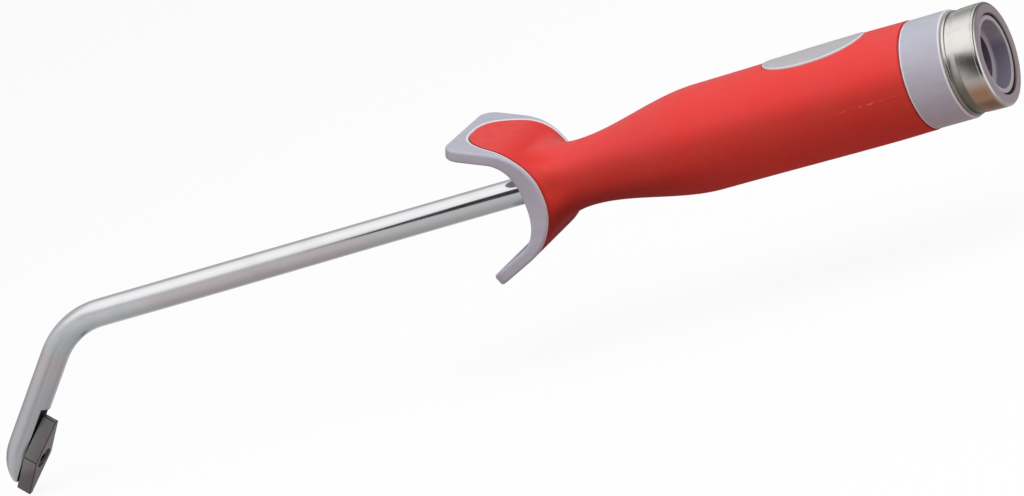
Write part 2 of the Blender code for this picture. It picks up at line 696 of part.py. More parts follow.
def make_ring():
    """The steel striking ring on the hard boss."""
    front = RING_X + FIT_GAP
    fillet_centre = (RING_RADIUS - RING_FILLET, HANDLE_LENGTH - RING_FILLET)
    fillet = arc(fillet_centre, RING_FILLET, math.pi / 2, 0.0, FILLET_STEPS)
    groove_rear = front + RING_GROOVE_AT + RING_GROOVE_WIDTH
    groove_front = front + RING_GROOVE_AT
    floor = RING_RADIUS - RING_GROOVE_DEPTH
    profile = [(RING_BORE_RADIUS, HANDLE_LENGTH)] + fillet
    profile += [(RING_RADIUS, groove_rear), (floor, groove_rear)]
    profile += [(floor, groove_front), (RING_RADIUS, groove_front)]
    profile += [(RING_RADIUS, front), (RING_BORE_RADIUS, front), (RING_BORE_RADIUS, HANDLE_LENGTH)]
    ring = turned("striking_ring", profile, RING_SIDES, AXIS)
    return finish(ring, (0.55, 0.53, 0.50), 0.3, 1.0)


def centre_tool(pieces):
    """Move the carrying empty so that the tool's box is centred on the origin."""
    graph = bpy.context.evaluated_depsgraph_get()
    corners = []
    for piece in pieces:
        shown = piece.evaluated_get(graph)
        corners += [shown.matrix_world @ vertex.co for vertex in shown.data.vertices]
    low = Vector([min(corner[i] for corner in corners) for i in range(3)])
    high = Vector([max(corner[i] for corner in corners) for i in range(3)])
    AXIS.location = -(low + high) / 2
    bpy.context.view_layer.update()
    print("overall size in mm", [round(value / MILLIMETRE, 2) for value in high - low])
    print("handle axis origin in mm", [round(value / MILLIMETRE, 3) for value in AXIS.location])


clear_scene()
TOOL = new_collection("groove_scraper")
CUTTERS = new_collection("cutters")
AXIS = new_empty("handle_axis")
TIP = new_empty("tip_axis", AXIS)
TIP.location = (-BAR_REACH, 0.0, 0.0)
TIP.rotation_euler = (0.0, math.pi - BEND_ANGLE, 0.0)
bpy.context.view_layer.update()

PIECES = [make_bar(), make_insert(), make_screw(), make_core(), make_sleeve(), make_ring()]
bpy.context.view_layer.update()
centre_tool(PIECES)
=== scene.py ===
# %% [markdown]
# # A groove scraper in Blender
# This file dresses a hand tool: a bent steel bar with a hard scraping insert at one end, and at the
# other a grey and red handle with a steel ring that takes hammer blows. The solids of the tool are
# loaded first and never moved. Each one is then given a finer surface and a finish built from nodes.

import math

import bmesh
import bpy
from mathutils import Matrix, Vector


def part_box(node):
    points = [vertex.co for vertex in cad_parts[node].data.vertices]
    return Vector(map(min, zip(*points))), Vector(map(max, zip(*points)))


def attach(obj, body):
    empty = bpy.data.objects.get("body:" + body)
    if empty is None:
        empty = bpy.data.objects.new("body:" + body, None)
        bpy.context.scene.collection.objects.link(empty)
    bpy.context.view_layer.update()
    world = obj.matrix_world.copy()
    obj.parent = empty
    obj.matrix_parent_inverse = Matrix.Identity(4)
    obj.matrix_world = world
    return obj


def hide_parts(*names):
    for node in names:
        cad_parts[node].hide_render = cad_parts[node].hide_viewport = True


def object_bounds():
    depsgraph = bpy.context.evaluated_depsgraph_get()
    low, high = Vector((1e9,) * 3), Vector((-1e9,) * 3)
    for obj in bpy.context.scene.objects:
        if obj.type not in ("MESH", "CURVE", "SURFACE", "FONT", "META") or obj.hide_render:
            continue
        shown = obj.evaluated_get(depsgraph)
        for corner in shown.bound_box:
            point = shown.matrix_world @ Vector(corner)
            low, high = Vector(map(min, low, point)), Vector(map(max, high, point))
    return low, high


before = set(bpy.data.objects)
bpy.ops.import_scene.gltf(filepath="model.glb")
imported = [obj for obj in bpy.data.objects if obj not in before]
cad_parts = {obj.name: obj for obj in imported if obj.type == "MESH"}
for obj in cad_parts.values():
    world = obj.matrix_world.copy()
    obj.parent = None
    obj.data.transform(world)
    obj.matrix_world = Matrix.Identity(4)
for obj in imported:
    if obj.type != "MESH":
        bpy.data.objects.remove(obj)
cad_low, cad_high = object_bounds()
print("nodes:", sorted(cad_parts))

# %% [markdown]
# ## Units and the tool's own frame
# Everything is drawn in millimetres on the handle's axis. X runs towards the striking end and starts
# at the middle of the guard's front face. The striking ring of the loaded tool shows where that axis
# lies in the world, so one matrix carries every finished shape to its place.

# %% The tool's frame, found from the striking ring
MM = 0.001
HANDLE_LENGTH = 142.1
ring_low, ring_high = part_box("striking_ring")
AXIS_Z = (ring_low.z + ring_high.z) / 2
FRONT_X = ring_high.x - HANDLE_LENGTH * MM
TOOL_TO_WORLD = Matrix.Translation((FRONT_X, 0.0, AXIS_Z)) @ Matrix.Scale(MM, 4)
print("the handle's axis is", round(AXIS_Z / MM, 2), "mm above the origin")

# %% [markdown]
# ## Camera
# The photograph was taken from a little above, in front and to the side, with a long lens and the
# tool turned in the picture. The camera is placed by an azimuth, an elevation and a roll round a
# point near the tool's middle. Its lens follows from a focal length in pixels of the photograph.

# %% The camera
PHOTO_WIDTH = 1024
FOCAL_LENGTH_PIXELS = 4309.1
CAMERA_AZIMUTH = math.radians(28.603)
CAMERA_ELEVATION = math.radians(12.639)
CAMERA_ROLL = math.radians(22.488)
CAMERA_DISTANCE = 1228.03
CAMERA_AIM = Vector((-17.124, 0.0, -15.419))
CAMERA_CLIP = (10 * MM, 100.0)


def new_object(name, data):
    """An object in the scene that carries some data."""
    made = bpy.data.objects.new(name, data)
    bpy.context.scene.collection.objects.link(made)
    return made


def camera_axes(azimuth, elevation, roll):
    """Right, up and backward directions of a camera that looks at the tool."""
    back = Vector((math.sin(azimuth) * math.cos(elevation), -math.cos(azimuth) * math.cos(elevation),
                   math.sin(elevation)))
    level_right = Vector((math.cos(azimuth), math.sin(azimuth), 0.0))
    level_up = back.cross(level_right)
    right = level_right * math.cos(roll) - level_up * math.sin(roll)
    up = level_right * math.sin(roll) + level_up * math.cos(roll)
    return right, up, back


camera_data = bpy.data.cameras.new("camera")
camera = new_object("camera", camera_data)
bpy.context.scene.camera = camera
right, up, back = camera_axes(CAMERA_AZIMUTH, CAMERA_ELEVATION, CAMERA_ROLL)
camera.matrix_world = Matrix((right, up, back)).transposed().to_4x4()
camera.location = TOOL_TO_WORLD @ CAMERA_AIM + back * CAMERA_DISTANCE * MM
camera_data.lens = camera_data.sensor_width * FOCAL_LENGTH_PIXELS / PHOTO_WIDTH
camera_data.clip_start, camera_data.clip_end = CAMERA_CLIP
print("lens:", round(camera_data.lens, 1), "mm")

# %% [markdown]
# ## Node recipes
# Materials, the world and Geometry Nodes are all trees of nodes. A small class keeps a tree and adds
# one node per call, filling or linking its inputs, so each recipe below reads as a list of steps.

# %% A recipe of nodes


class Recipe:
    """A tree of nodes, with a short way to add each kind of step."""

    def __init__(self, tree):
        self.tree = tree

    def add(self, kind, inputs=None, **settings):
        """Add a node with its settings. An input takes a value, or a socket to link from."""
        made = self.tree.nodes.new(kind)
        for name, value in settings.items():
            setattr(made, name, value)
        for key, value in (inputs or {}).items():
            if isinstance(value, bpy.types.NodeSocket):
                self.tree.links.new(value, made.inputs[key])
            else:
                made.inputs[key].default_value = value
        return made

    def math(self, operation, *values):
        """The result of one Math node."""
        return self.add("ShaderNodeMath", dict(enumerate(values)), operation=operation).outputs[0]

    def line(self, value, slope, offset):
        """A value times a slope, plus an offset."""
        return self.math("MULTIPLY_ADD", value, slope, offset)

    def product(self, first, *others):
        """Values multiplied one after another."""
        for other in others:
            first = self.math("MULTIPLY", first, other)
        return first

    def step(self, value, start, end, low=0.0, high=1.0):
        """A smooth step of a value between two limits."""
        limits = {"Value": value, "From Min": start, "From Max": end, "To Min": low, "To Max": high}
        return self.add("ShaderNodeMapRange", limits, interpolation_type="SMOOTHSTEP").outputs["Result"]

    def zone(self, *limits):
        """Where several steps overlap, each given as (value, start, end) and perhaps (low, high)."""
        return self.product(*[self.step(*limit) for limit in limits])

    def mix(self, factor, first, second, blend="MIX"):
        """One colour laid over another by a factor."""
        return self.add("ShaderNodeMix", {"Factor": factor, "A": first, "B": second}, data_type="RGBA",
                        blend_type=blend).outputs["Result"]

    def tint(self, factor, color, tone):
        """A colour multiplied by a tone where the factor is 1."""
        return self.mix(factor, color, tone, "MULTIPLY")

    def parts(self, vector):
        """X, Y and Z of a vector."""
        return self.add("ShaderNodeSeparateXYZ", {"Vector": vector}).outputs


print("recipes ready")

# %% [markdown]
# ## Mesh helpers
# A grip, a guard or a ring is a skin over a row of rings with the same number of points. Such a skin
# is written straight into a bmesh, so that each ring lands exactly where it is measured. Holes and
# flats are cut afterwards with Boolean modifiers. A finished shape moves to the world in its mesh.

# %% Skins and turned shapes


def skin(rows, closed=False, tips=None, leave_out=None, edge=None):
    """Faces between rings of equal point counts. leave_out(row, column) names faces to leave open,
    and edge(row, column) tells how far a point belongs to an edge, for the finish to read."""
    shape = bmesh.new()
    edge_share = shape.verts.layers.float.new("edge_share")
    verts = [[shape.verts.new(point) for point in row] for row in rows]
    for number, row in enumerate(verts):
        for column, vert in enumerate(row):
            vert[edge_share] = edge(number, column) if edge else 0.0
    count = len(verts[0])
    sides = [(i, (i + 1) % count) for i in range(count)]
    pairs = list(zip(verts, verts[1:] + (verts[:1] if closed else [])))
    for number, (lower, upper) in enumerate(pairs):
        for i, j in sides:
            if not (leave_out and leave_out(number, i)):
                shape.faces.new((lower[i], lower[j], upper[j], upper[i]))
    if tips:
        first, last = [shape.verts.new(tip) for tip in tips]
        for i, j in sides:
            shape.faces.new((first, verts[0][j], verts[0][i]))
            shape.faces.new((last, verts[-1][i], verts[-1][j]))
    return shape


def close_up(shape):
    """Merge doubled points and turn every face outwards."""
    bmesh.ops.remove_doubles(shape, verts=shape.verts, dist=0.0005)
    bmesh.ops.recalc_face_normals(shape, faces=shape.faces)
    return shape


def stations(start, end, steps):
    """Places from start to end, both included."""
    return [start + (end - start) * i / steps for i in range(steps + 1)]


def ease(share):
    """From 0 to 1 with level ends."""
    share = min(max(share, 0.0), 1.0)
    return share * share * (3.0 - 2.0 * share)


def arc(centre, radius, start, end, steps):
    """Points on an arc in a plane, both ends included."""
    angles = stations(start, end, steps)
    return [(centre[0] + radius * math.cos(a), centre[1] + radius * math.sin(a)) for a in angles]


def rounding(radius):
    """(inset, drop) pairs over a rounded edge, from its foot on the flat to its outermost line."""
    turns = stations(0.0, math.pi / 2, 6)
    return [(radius * (1.0 - math.sin(turn)), radius * (1.0 - math.cos(turn))) for turn in turns]


def angles_round(count):
    """Equal steps once round."""
    return [math.tau * i / count for i in range(count)]


def ring_at(x, radius, angles):
    """Points round the handle's axis."""
    return [Vector((x, radius * math.sin(a), radius * math.cos(a))) for a in angles]


def turned(profile, sides, edge=None):
    """A turned shape from (x, radius) points: a solid, or a band if the profile starts off the axis."""
    band = profile[0][1] > 0.0
    rows = [ring_at(x, radius, angles_round(sides)) for x, radius in (profile if band else profile[1:-1])]
    tips = None if band else [Vector((x, 0.0, 0.0)) for x, _ in (profile[0], profile[-1])]
    return close_up(skin(rows, closed=band, tips=tips, edge=edge))


print("skins ready")

# %% Cuts and placing


def to_mesh(name, shape):
    """A mesh made from a shape, which is used up."""
    mesh = bpy.data.meshes.new(name)
    shape.to_mesh(mesh)
    shape.free()
    return mesh


def moved(shape, matrix):
    """A shape, moved."""
    bmesh.ops.transform(shape, matrix=matrix, verts=shape.verts)
    return shape


def result_of(made):
    """The shape of an object after its modifiers. The object is used up."""
    graph = bpy.context.evaluated_depsgraph_get()
    mesh = bpy.data.meshes.new_from_object(made.evaluated_get(graph))
    shape = bmesh.new()
    shape.from_mesh(mesh)
    bpy.data.objects.remove(made, do_unlink=True)
    bpy.data.meshes.remove(mesh)
    return shape


def cut(shape, *cutters):
    """Take the cutters' volume away from a shape."""
    body = new_object("temporary", to_mesh("temporary", shape))
    tools = [new_object("temporary", to_mesh("temporary", cutter)) for cutter in cutters]
    for tool in tools:
        modifier = body.modifiers.new("cut", "BOOLEAN")
        modifier.operation = "DIFFERENCE"
        modifier.solver = "EXACT"
        modifier.object = tool
    result = result_of(body)
    for tool in tools:
        bpy.data.objects.remove(tool, do_unlink=True)
    return result


def join(*shapes):
    """Several shapes as one."""
    result = bmesh.new()
    for shape in shapes:
        mesh = to_mesh("part", shape)
        result.from_mesh(mesh)
        bpy.data.meshes.remove(mesh)
    return result


def place(name, shape, finish, node, sharp_angle=36.0):
    """Move a finished shape to its place in the world and let it stand for a solid of the frame."""
    mesh = to_mesh(name, moved(shape, TOOL_TO_WORLD))
    mesh.shade_smooth()
    mesh.set_sharp_from_angle(angle=math.radians(sharp_angle))
    mesh.materials.append(finish)
    piece = new_object(name, mesh)
    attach(piece, "root")
    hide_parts(node)
    mesh.calc_loop_triangles()
    print(name, "has", len(mesh.loop_triangles), "triangles")


print("cuts and placing ready")

# %% [markdown]
# ## A surface to build each finish on
# Every finish starts the same way: a Principled shader, coordinates in millimetres round the handle's
# axis, and a bump that is fed with a height in millimetres. Object coordinates are used because each
# piece keeps its place in its mesh, so a pattern stays where it is whatever the camera does. The
# limits of a step on X, Y or Z below are therefore millimetres on the tool.

# %% Start a finish


class Finish(Recipe):
    """A new material, with its shader's inputs and the place on the tool in millimetres."""

    def __init__(self, name):
        self.material = bpy.data.materials.new(name)
        self.material.use_nodes = True
        super().__init__(self.material.node_tree)
        self.inputs = self.tree.nodes["Principled BSDF"].inputs
        coordinates = self.add("ShaderNodeTexCoord").outputs["Object"]
        self.where = self.add("ShaderNodeMapping", {
            "Vector": coordinates,
            "Location": (-FRONT_X / MM, 0.0, -AXIS_Z / MM),
            "Scale": (1 / MM, 1 / MM, 1 / MM),
        }).outputs["Vector"]
        self.x, self.y, self.z = self.parts(self.where)

    def noise(self, scale, detail=3.0, roughness=0.5, stretch=None, where=None):
        """A noise value from 0 to 1, with its scale in cycles per millimetre."""
        vector = self.where if where is None else where
        if stretch:
            vector = self.add("ShaderNodeMapping", {"Vector": vector, "Scale": stretch}).outputs["Vector"]
        return self.add("ShaderNodeTexNoise", {"Vector": vector, "Scale": scale, "Detail": detail,
                                               "Roughness": roughness}).outputs["Fac"]

    def off_axis(self):
        """How far a place is from the handle's axis."""
        return self.math("SQRT", self.line(self.z, self.z, self.product(self.y, self.y)))

    def edge(self):
        """How far a place belongs to an edge, which its mesh says."""
        return self.add("ShaderNodeAttribute", attribute_name="edge_share").outputs["Fac"]

    def done(self, color, roughness, height, height_mm, metallic=0.0, specular=0.5):
        """Feed the shader, and raise the surface by a height in millimetres."""
        raised = self.add("ShaderNodeBump", {"Height": height, "Distance": height_mm * MM, "Strength": 1.0})
        self.tree.links.new(color, self.inputs["Base Color"])
        self.tree.links.new(roughness, self.inputs["Roughness"])
        self.tree.links.new(raised.outputs["Normal"], self.inputs["Normal"])
        self.inputs["Metallic"].default_value = metallic
        self.inputs["Specular IOR Level"].default_value = specular
        print(self.material.name, "has", len(self.tree.nodes), "nodes")
        return self.material


print("finishes can start")

# %% [markdown]
# ## Soft red sleeve
# The sleeve is an injection-moulded soft plastic: saturated red, half gloss, with a very fine grain
# from the mould. A flat red would look like paint. Slow noise shifts the red a little, a fine noise
# changes the gloss and lifts the surface by hundredths of a millimetre, and sparse pits hold dust.
# Painted shade darkens the underside of the neck, where the guard shelters it. The whole lower half is
# rougher, and painted shade makes it darker and less blue. The flash on the mould's parting line gets
# short pale painted glints near the collar. The edges that meet the grey plastic get painted shade,
# nearly black: the meshes carry a number, edge_share, for them.

# %% Red rubber
RED = (0.80, 0.040, 0.035, 1.0)
RED_WORN = (0.785, 0.047, 0.043, 1.0)
RED_DEEP = (0.58, 0.022, 0.020, 1.0)
RED_FLASH_GLINT = (0.83, 0.110, 0.095, 1.0)
LOWER_HALF_SHADE_TONE = (0.80, 0.80, 0.60, 1.0)
NECK_SHADE_TONE = (0.56, 0.52, 0.50, 1.0)
RED_JOINT_SHADE = (0.26, 0.014, 0.013, 1.0)


def make_red_rubber():
    """The soft plastic of the sleeve."""
    made = Finish("red_rubber_finish")
    clouds = made.step(made.noise(0.07, 4.0), 0.38, 0.66)
    pits = made.step(made.noise(1.7, 2.0), 0.70, 0.78)
    color = made.mix(pits, made.mix(clouds, RED, RED_WORN), RED_DEEP)
    # Painted shade: the underside of the neck is darker where the guard shelters it.
    neck_shade = made.zone((made.x, 75.0, 20.0), (made.z, -1.0, -8.0))
    color = made.tint(neck_shade, color, NECK_SHADE_TONE)
    # Painted shade: the lower half is darker and less blue.
    color = made.tint(made.step(made.z, 7.5, 1.0), color, LOWER_HALF_SHADE_TONE)
    # Painted glints: short pale strokes on the parting line's flash near the collar.
    flash_glints = made.zone((made.math("ABSOLUTE", made.z), 0.30, 0.12), (made.noise(0.60, 2.0), 0.52, 0.62),
                        (made.x, 94.0, 97.0))
    color = made.mix(flash_glints, color, RED_FLASH_GLINT)
    # Painted shade: the edges that meet the grey plastic are nearly black.
    color = made.mix(made.edge(), color, RED_JOINT_SHADE)
    rough = made.step(made.noise(0.35, 4.0), 0.30, 0.70, 0.36, 0.46)
    matt_below = made.step(made.z, 6.0, -6.0)
    rough = made.line(matt_below, 0.45, rough)
    height = made.math("SUBTRACT", made.noise(2.6, 3.0, 0.6), made.product(pits, 0.8))
    return made.done(color, rough, height, 0.012, specular=0.42)


red_rubber = make_red_rubber()

# %% [markdown]
# ## Hard grey plastic
# The guard, thumb pad, collar and hollow boss are one moulding of glass-filled plastic. Its grey
# leans to blue, and short fibres make it faintly speckled. The pad is painted warmer and less blue, as
# painted light. Fine flow lines run along the handle. The edges where the grey meets the soft plastic
# or the ring get a pale painted highlight, weaker on the guard's narrow rim at the waist, the rim of
# the boss and the step in its hollow. No pattern in space knows where they are, so the meshes carry a
# number, edge_share, on the points of those edges. Painted shade makes the hollow end darker
# downwards and inwards.

# %% Grey plastic
GREY = (0.47, 0.47, 0.55, 1.0)
GREY_PALE = (0.53, 0.53, 0.60, 1.0)
GREY_DARK = (0.36, 0.36, 0.43, 1.0)
GREY_HOLLOW_UPPER_SHADE = (0.42, 0.40, 0.48, 1.0)
GREY_HOLLOW_LOWER_SHADE = (0.20, 0.185, 0.245, 1.0)
GREY_SOCKET_SHADE = (0.14, 0.13, 0.17, 1.0)
PAD_PAINTED_LIGHT_TONE = (1.0, 0.97, 0.87, 1.0)
GREY_EDGE_HIGHLIGHT = (0.80, 0.78, 0.81, 1.0)


def make_grey_plastic():
    """The hard plastic of the core."""
    made = Finish("grey_plastic_finish")
    flow = made.step(made.noise(0.5, 4.0, stretch=(0.25, 1.0, 1.0)), 0.35, 0.70)
    color = made.mix(made.product(flow, 0.5), GREY, GREY_PALE)
    color = made.mix(made.step(made.noise(2.4, 2.0), 0.66, 0.78, 0.0, 0.7), color, GREY_DARK)
    # Painted light: the pad is warmer and less blue.
    color = made.tint(made.zone((made.x, 12.0, 16.0), (made.x, 112.0, 108.0)), color, PAD_PAINTED_LIGHT_TONE)
    off_axis = made.off_axis()
    # Painted shade: the hollow end is darker downwards, and darkest in the socket.
    hollow_shade = made.mix(made.step(made.z, 4.0, -1.0), GREY_HOLLOW_UPPER_SHADE, GREY_HOLLOW_LOWER_SHADE)
    hollow_shade = made.mix(made.step(off_axis, 7.5, 7.3), hollow_shade, GREY_SOCKET_SHADE)
    color = made.mix(made.zone((off_axis, 9.75, 9.55), (made.x, 100.0, 109.0)), color, hollow_shade)
    # Painted highlight: the marked edges are pale.
    color = made.mix(made.edge(), color, GREY_EDGE_HIGHLIGHT)
    rough = made.step(made.noise(0.6), 0.30, 0.70, 0.34, 0.45)
    return made.done(color, rough, made.noise(3.0, 3.0, 0.6), 0.010, specular=0.38)


grey_plastic = make_grey_plastic()

# %% [markdown]
# ## Plated bar
# The bar is bright on its straight length. From the bend on it is satin, because the bend and the tip
# were worked before plating. One material does both: its roughness rises along X past the bend. Fine
# lines along the bar and a little waviness keep the reflections from looking computed. A painted
# reflection tints the lower side, warmer on the bar and the start of the tip and cooler at the tip's
# end, a painted highlight makes the bend brighter, and painted shade makes the ground seat nearly
# black. The tip leaves the X axis at 45 degrees, so two sums of X and Z measure along it and across it.

# %% Chrome steel
CHROME = (0.80, 0.80, 0.82, 1.0)
CHROME_SHADE = (0.70, 0.69, 0.69, 1.0)
SEAT_SHADE = (0.025, 0.025, 0.032, 1.0)
LOWER_SIDE_REFLECTION_TONE = (1.0, 0.91, 0.91, 1.0)
BEND_HIGHLIGHT_TONE = (1.06, 1.08, 1.09, 1.0)
TIP_WARM_REFLECTION_TONE = (1.06, 0.97, 0.97, 1.0)
TIP_COOL_REFLECTION_TONE = (0.975, 0.975, 1.0, 1.0)
BAR_REACH = 167.7
TIP_SLOPE = 0.7071


def make_chrome_steel():
    """The plated steel of the bar."""
    made = Finish("chrome_steel_finish")
    satin = made.step(made.x, -150.0, -176.0)
    drawn = made.noise(1.0, stretch=(0.05, 3.0, 3.0))
    stains = made.step(made.noise(0.12, 5.0), 0.50, 0.75, 0.0, 0.5)
    color = made.mix(stains, CHROME, CHROME_SHADE)
    from_corner = made.math("ADD", made.x, BAR_REACH)
    across_tip = made.product(made.math("SUBTRACT", from_corner, made.z), TIP_SLOPE)
    along_tip = made.product(made.math("ADD", from_corner, made.z), -TIP_SLOPE)
    # Painted reflection: warm and cool tints on the lower side and the tip; painted highlight: a brighter
    # bend.
    tone = made.mix(made.step(along_tip, 17.0, 23.0), TIP_WARM_REFLECTION_TONE, TIP_COOL_REFLECTION_TONE)
    tone = made.mix(made.step(along_tip, 14.0, 9.0), tone, BEND_HIGHLIGHT_TONE)
    tone = made.mix(made.step(made.x, -128.0, -145.0), LOWER_SIDE_REFLECTION_TONE, tone)
    color = made.tint(made.zone((made.z, 1.8, 0.6), (made.x, -40.0, -70.0)), color, tone)
    # Painted shade: the ground seat is nearly black.
    seat = made.zone((across_tip, 2.9, 3.05), (along_tip, 30.2, 30.6))
    color = made.mix(seat, color, SEAT_SHADE)
    rough = made.math("ADD", made.step(satin, 0.0, 1.0, 0.045, 0.30),
                      made.step(drawn, 0.35, 0.65, 0.0, 0.035))
    rough = made.line(seat, 0.5, rough)
    blasted = made.product(made.noise(2.2, 3.0, 0.6), satin)
    height = made.math("ADD", blasted, made.product(drawn, 0.08))
    return made.done(color, rough, height, 0.010, metallic=1.0)


chrome_steel = make_chrome_steel()

# %% [markdown]
# ## Striking ring
# The ring is turned from bar, so every tool mark on it is a circle round the axis. The pattern reads
# the distance from the axis as well as X, which gives rings on the outside and on the end face.
# Painted shade darkens the cove behind the bead on the lower side and the edge of the bore, which are
# also rougher, and a painted reflection gives the underside a thin straw-coloured tint.

# %% Polished steel
STEEL = (0.76, 0.745, 0.71, 1.0)
STEEL_SHADE = (0.62, 0.60, 0.56, 1.0)
STEEL_DULL = (0.46, 0.44, 0.46, 1.0)
STRAW_REFLECTION_TINT = (0.62, 0.36, 0.22, 1.0)
CREVICE_SHADE = (0.25, 0.22, 0.18, 1.0)


def make_polished_steel():
    """The turned steel of the striking ring."""
    made = Finish("polished_steel_finish")
    off_axis = made.off_axis()
    round_place = made.add("ShaderNodeCombineXYZ", {"X": made.x, "Y": off_axis}).outputs["Vector"]
    marks = made.noise(6.0, where=round_place)
    color = made.mix(made.step(made.noise(0.30, 5.0), 0.48, 0.72, 0.0, 0.55), STEEL, STEEL_SHADE)
    # Painted reflection: a straw-coloured tint on the underside.
    straw_reflection = made.zone((made.z, -0.5, -6.0), (made.x, HANDLE_LENGTH - 0.4, HANDLE_LENGTH - 1.0),
                     (made.x, 134.2, 135.2))
    color = made.mix(straw_reflection, color, STRAW_REFLECTION_TINT)
    # Painted shade: the cove behind the bead is darker on the lower side.
    cove = made.zone((made.x, 132.0, 133.2, 0.5, 1.0), (made.x, 136.0, 135.2), (made.z, 6.0, -5.0))
    color = made.mix(cove, color, CREVICE_SHADE)
    end_face = made.step(made.x, HANDLE_LENGTH - 0.25, HANDLE_LENGTH - 0.05, 0.0, 0.6)
    color = made.mix(end_face, color, STEEL_DULL)
    # Painted shade: the edge of the bore is darker.
    bore_edge_shade = made.step(off_axis, 11.50, 11.42)
    color = made.mix(bore_edge_shade, color, CREVICE_SHADE)
    dull = made.math("MAXIMUM", made.math("MAXIMUM", cove, end_face), bore_edge_shade)
    rough = made.line(dull, 0.18, made.step(marks, 0.30, 0.70, 0.16, 0.23))
    return made.done(color, rough, marks, 0.0025, metallic=1.0)


polished_steel = make_polished_steel()

# %% [markdown]
# ## Hard insert and its screw
# The insert is sintered and ground: dark, half metallic, with a faint red and green bloom, nearly
# black edges and fine grinding lines across it. Its upper end is painted paler, as painted light, and
# its lower end darker, as painted shade. The screw is blackened steel with an oily sheen.

# %% Insert and screw finishes
CARBIDE = (0.245, 0.235, 0.250, 1.0)
CARBIDE_RED = (0.265, 0.230, 0.240, 1.0)
CARBIDE_GREEN = (0.225, 0.245, 0.220, 1.0)
CARBIDE_EDGE = (0.035, 0.030, 0.040, 1.0)
UPPER_SIDE_LIGHT_TONE = (1.22, 1.29, 1.22, 1.0)
LOWER_SIDE_SHADE_TONE = (0.84, 0.76, 0.77, 1.0)
BLACK = (0.030, 0.030, 0.034, 1.0)
BLACK_WORN = (0.110, 0.100, 0.095, 1.0)


def make_insert_carbide():
    """The ground hard metal of the insert."""
    made = Finish("insert_carbide_finish")
    color = made.mix(made.step(made.noise(0.20), 0.40, 0.66), CARBIDE, CARBIDE_RED)
    green = made.step(made.noise(0.16, 2.0, stretch=(1.0, 1.0, -1.0)), 0.50, 0.70)
    color = made.mix(green, color, CARBIDE_GREEN)
    # Painted light and shade: the upper end paler, the lower end darker.
    tone = made.mix(made.step(made.z, -38.5, -43.5), UPPER_SIDE_LIGHT_TONE, LOWER_SIDE_SHADE_TONE)
    color = made.mix(made.edge(), made.tint(1.0, color, tone), CARBIDE_EDGE)
    ground = made.noise(4.0, 2.0, stretch=(1.0, 0.12, 1.0))
    return made.done(color, made.step(ground, 0.30, 0.70, 0.38, 0.52), ground, 0.008, metallic=0.6)


def make_black_steel():
    """The blackened steel of the screw."""
    made = Finish("black_steel_finish")
    rubbed = made.step(made.noise(1.1, 4.0), 0.45, 0.75)
    rough = made.step(rubbed, 0.0, 1.0, 0.42, 0.28)
    return made.done(made.mix(rubbed, BLACK, BLACK_WORN), rough, made.noise(3.0), 0.010, metallic=0.9)


insert_carbide = make_insert_carbide()
black_steel = make_black_steel()

# %% [markdown]
# ## Bent bar
# The bar is one round rod: straight through the handle, bent by 45 degrees, and ground away at its
# very end so that the insert reaches past it. A rod that follows a path is what Geometry Nodes do
# best. The tree rounds the corner of a three-point path, moves its last points towards the insert,
# thins the section there by the same rule, and sweeps a circle along it. On its inner side the rod
# also gets a little thicker from the middle of its straight length on, as in the photograph.

# %% Sizes of the bar
BAR_RADIUS = 4.0
BEND_ANGLE = math.radians(45.0)
BEND_RADIUS = 30.0
TIP_LENGTH = 59.4
NOSE_LENGTH = 13.2
NOSE_RISE = 5.4
NOSE_POWER = 2.4
SWELL = 0.2
SWELL_FROM_X = -30.0
SWELL_TO_X = -130.0
TANG_LENGTH = 93.0
TANG_FLAT_FROM = 30.0
TANG_FLAT_TO = 80.0
TANG_FLAT_DEPTH = 0.8
FIT_GAP = 0.3

ALONG_TIP = Vector((-math.cos(BEND_ANGLE), 0.0, -math.sin(BEND_ANGLE)))
INSERT_SIDE = Vector((math.sin(BEND_ANGLE), 0.0, -math.cos(BEND_ANGLE)))
TIP_FRAME = Matrix.Translation((-BAR_REACH, 0.0, 0.0)) @ Matrix((
    (ALONG_TIP.x, 0.0, INSERT_SIDE.x, 0.0),
    (0.0, 1.0, 0.0, 0.0),
    (ALONG_TIP.z, 0.0, INSERT_SIDE.z, 0.0),
    (0.0, 0.0, 0.0, 1.0),
))
print("the tip's frame starts at", [round(value, 1) for value in TIP_FRAME.translation])

# %% Geometry Nodes tree that sweeps the bar
TREE_INPUTS = {
    "Geometry": ["Path"],
    "Float": ["Bar Radius", "Bend Radius", "Nose Length", "Nose Rise", "Nose Power", "Step", "Swell"],
    "Vector": ["Insert Side", "Inner Side"],
    "Int": ["Sides"],
    "Material": ["Finish"],
}


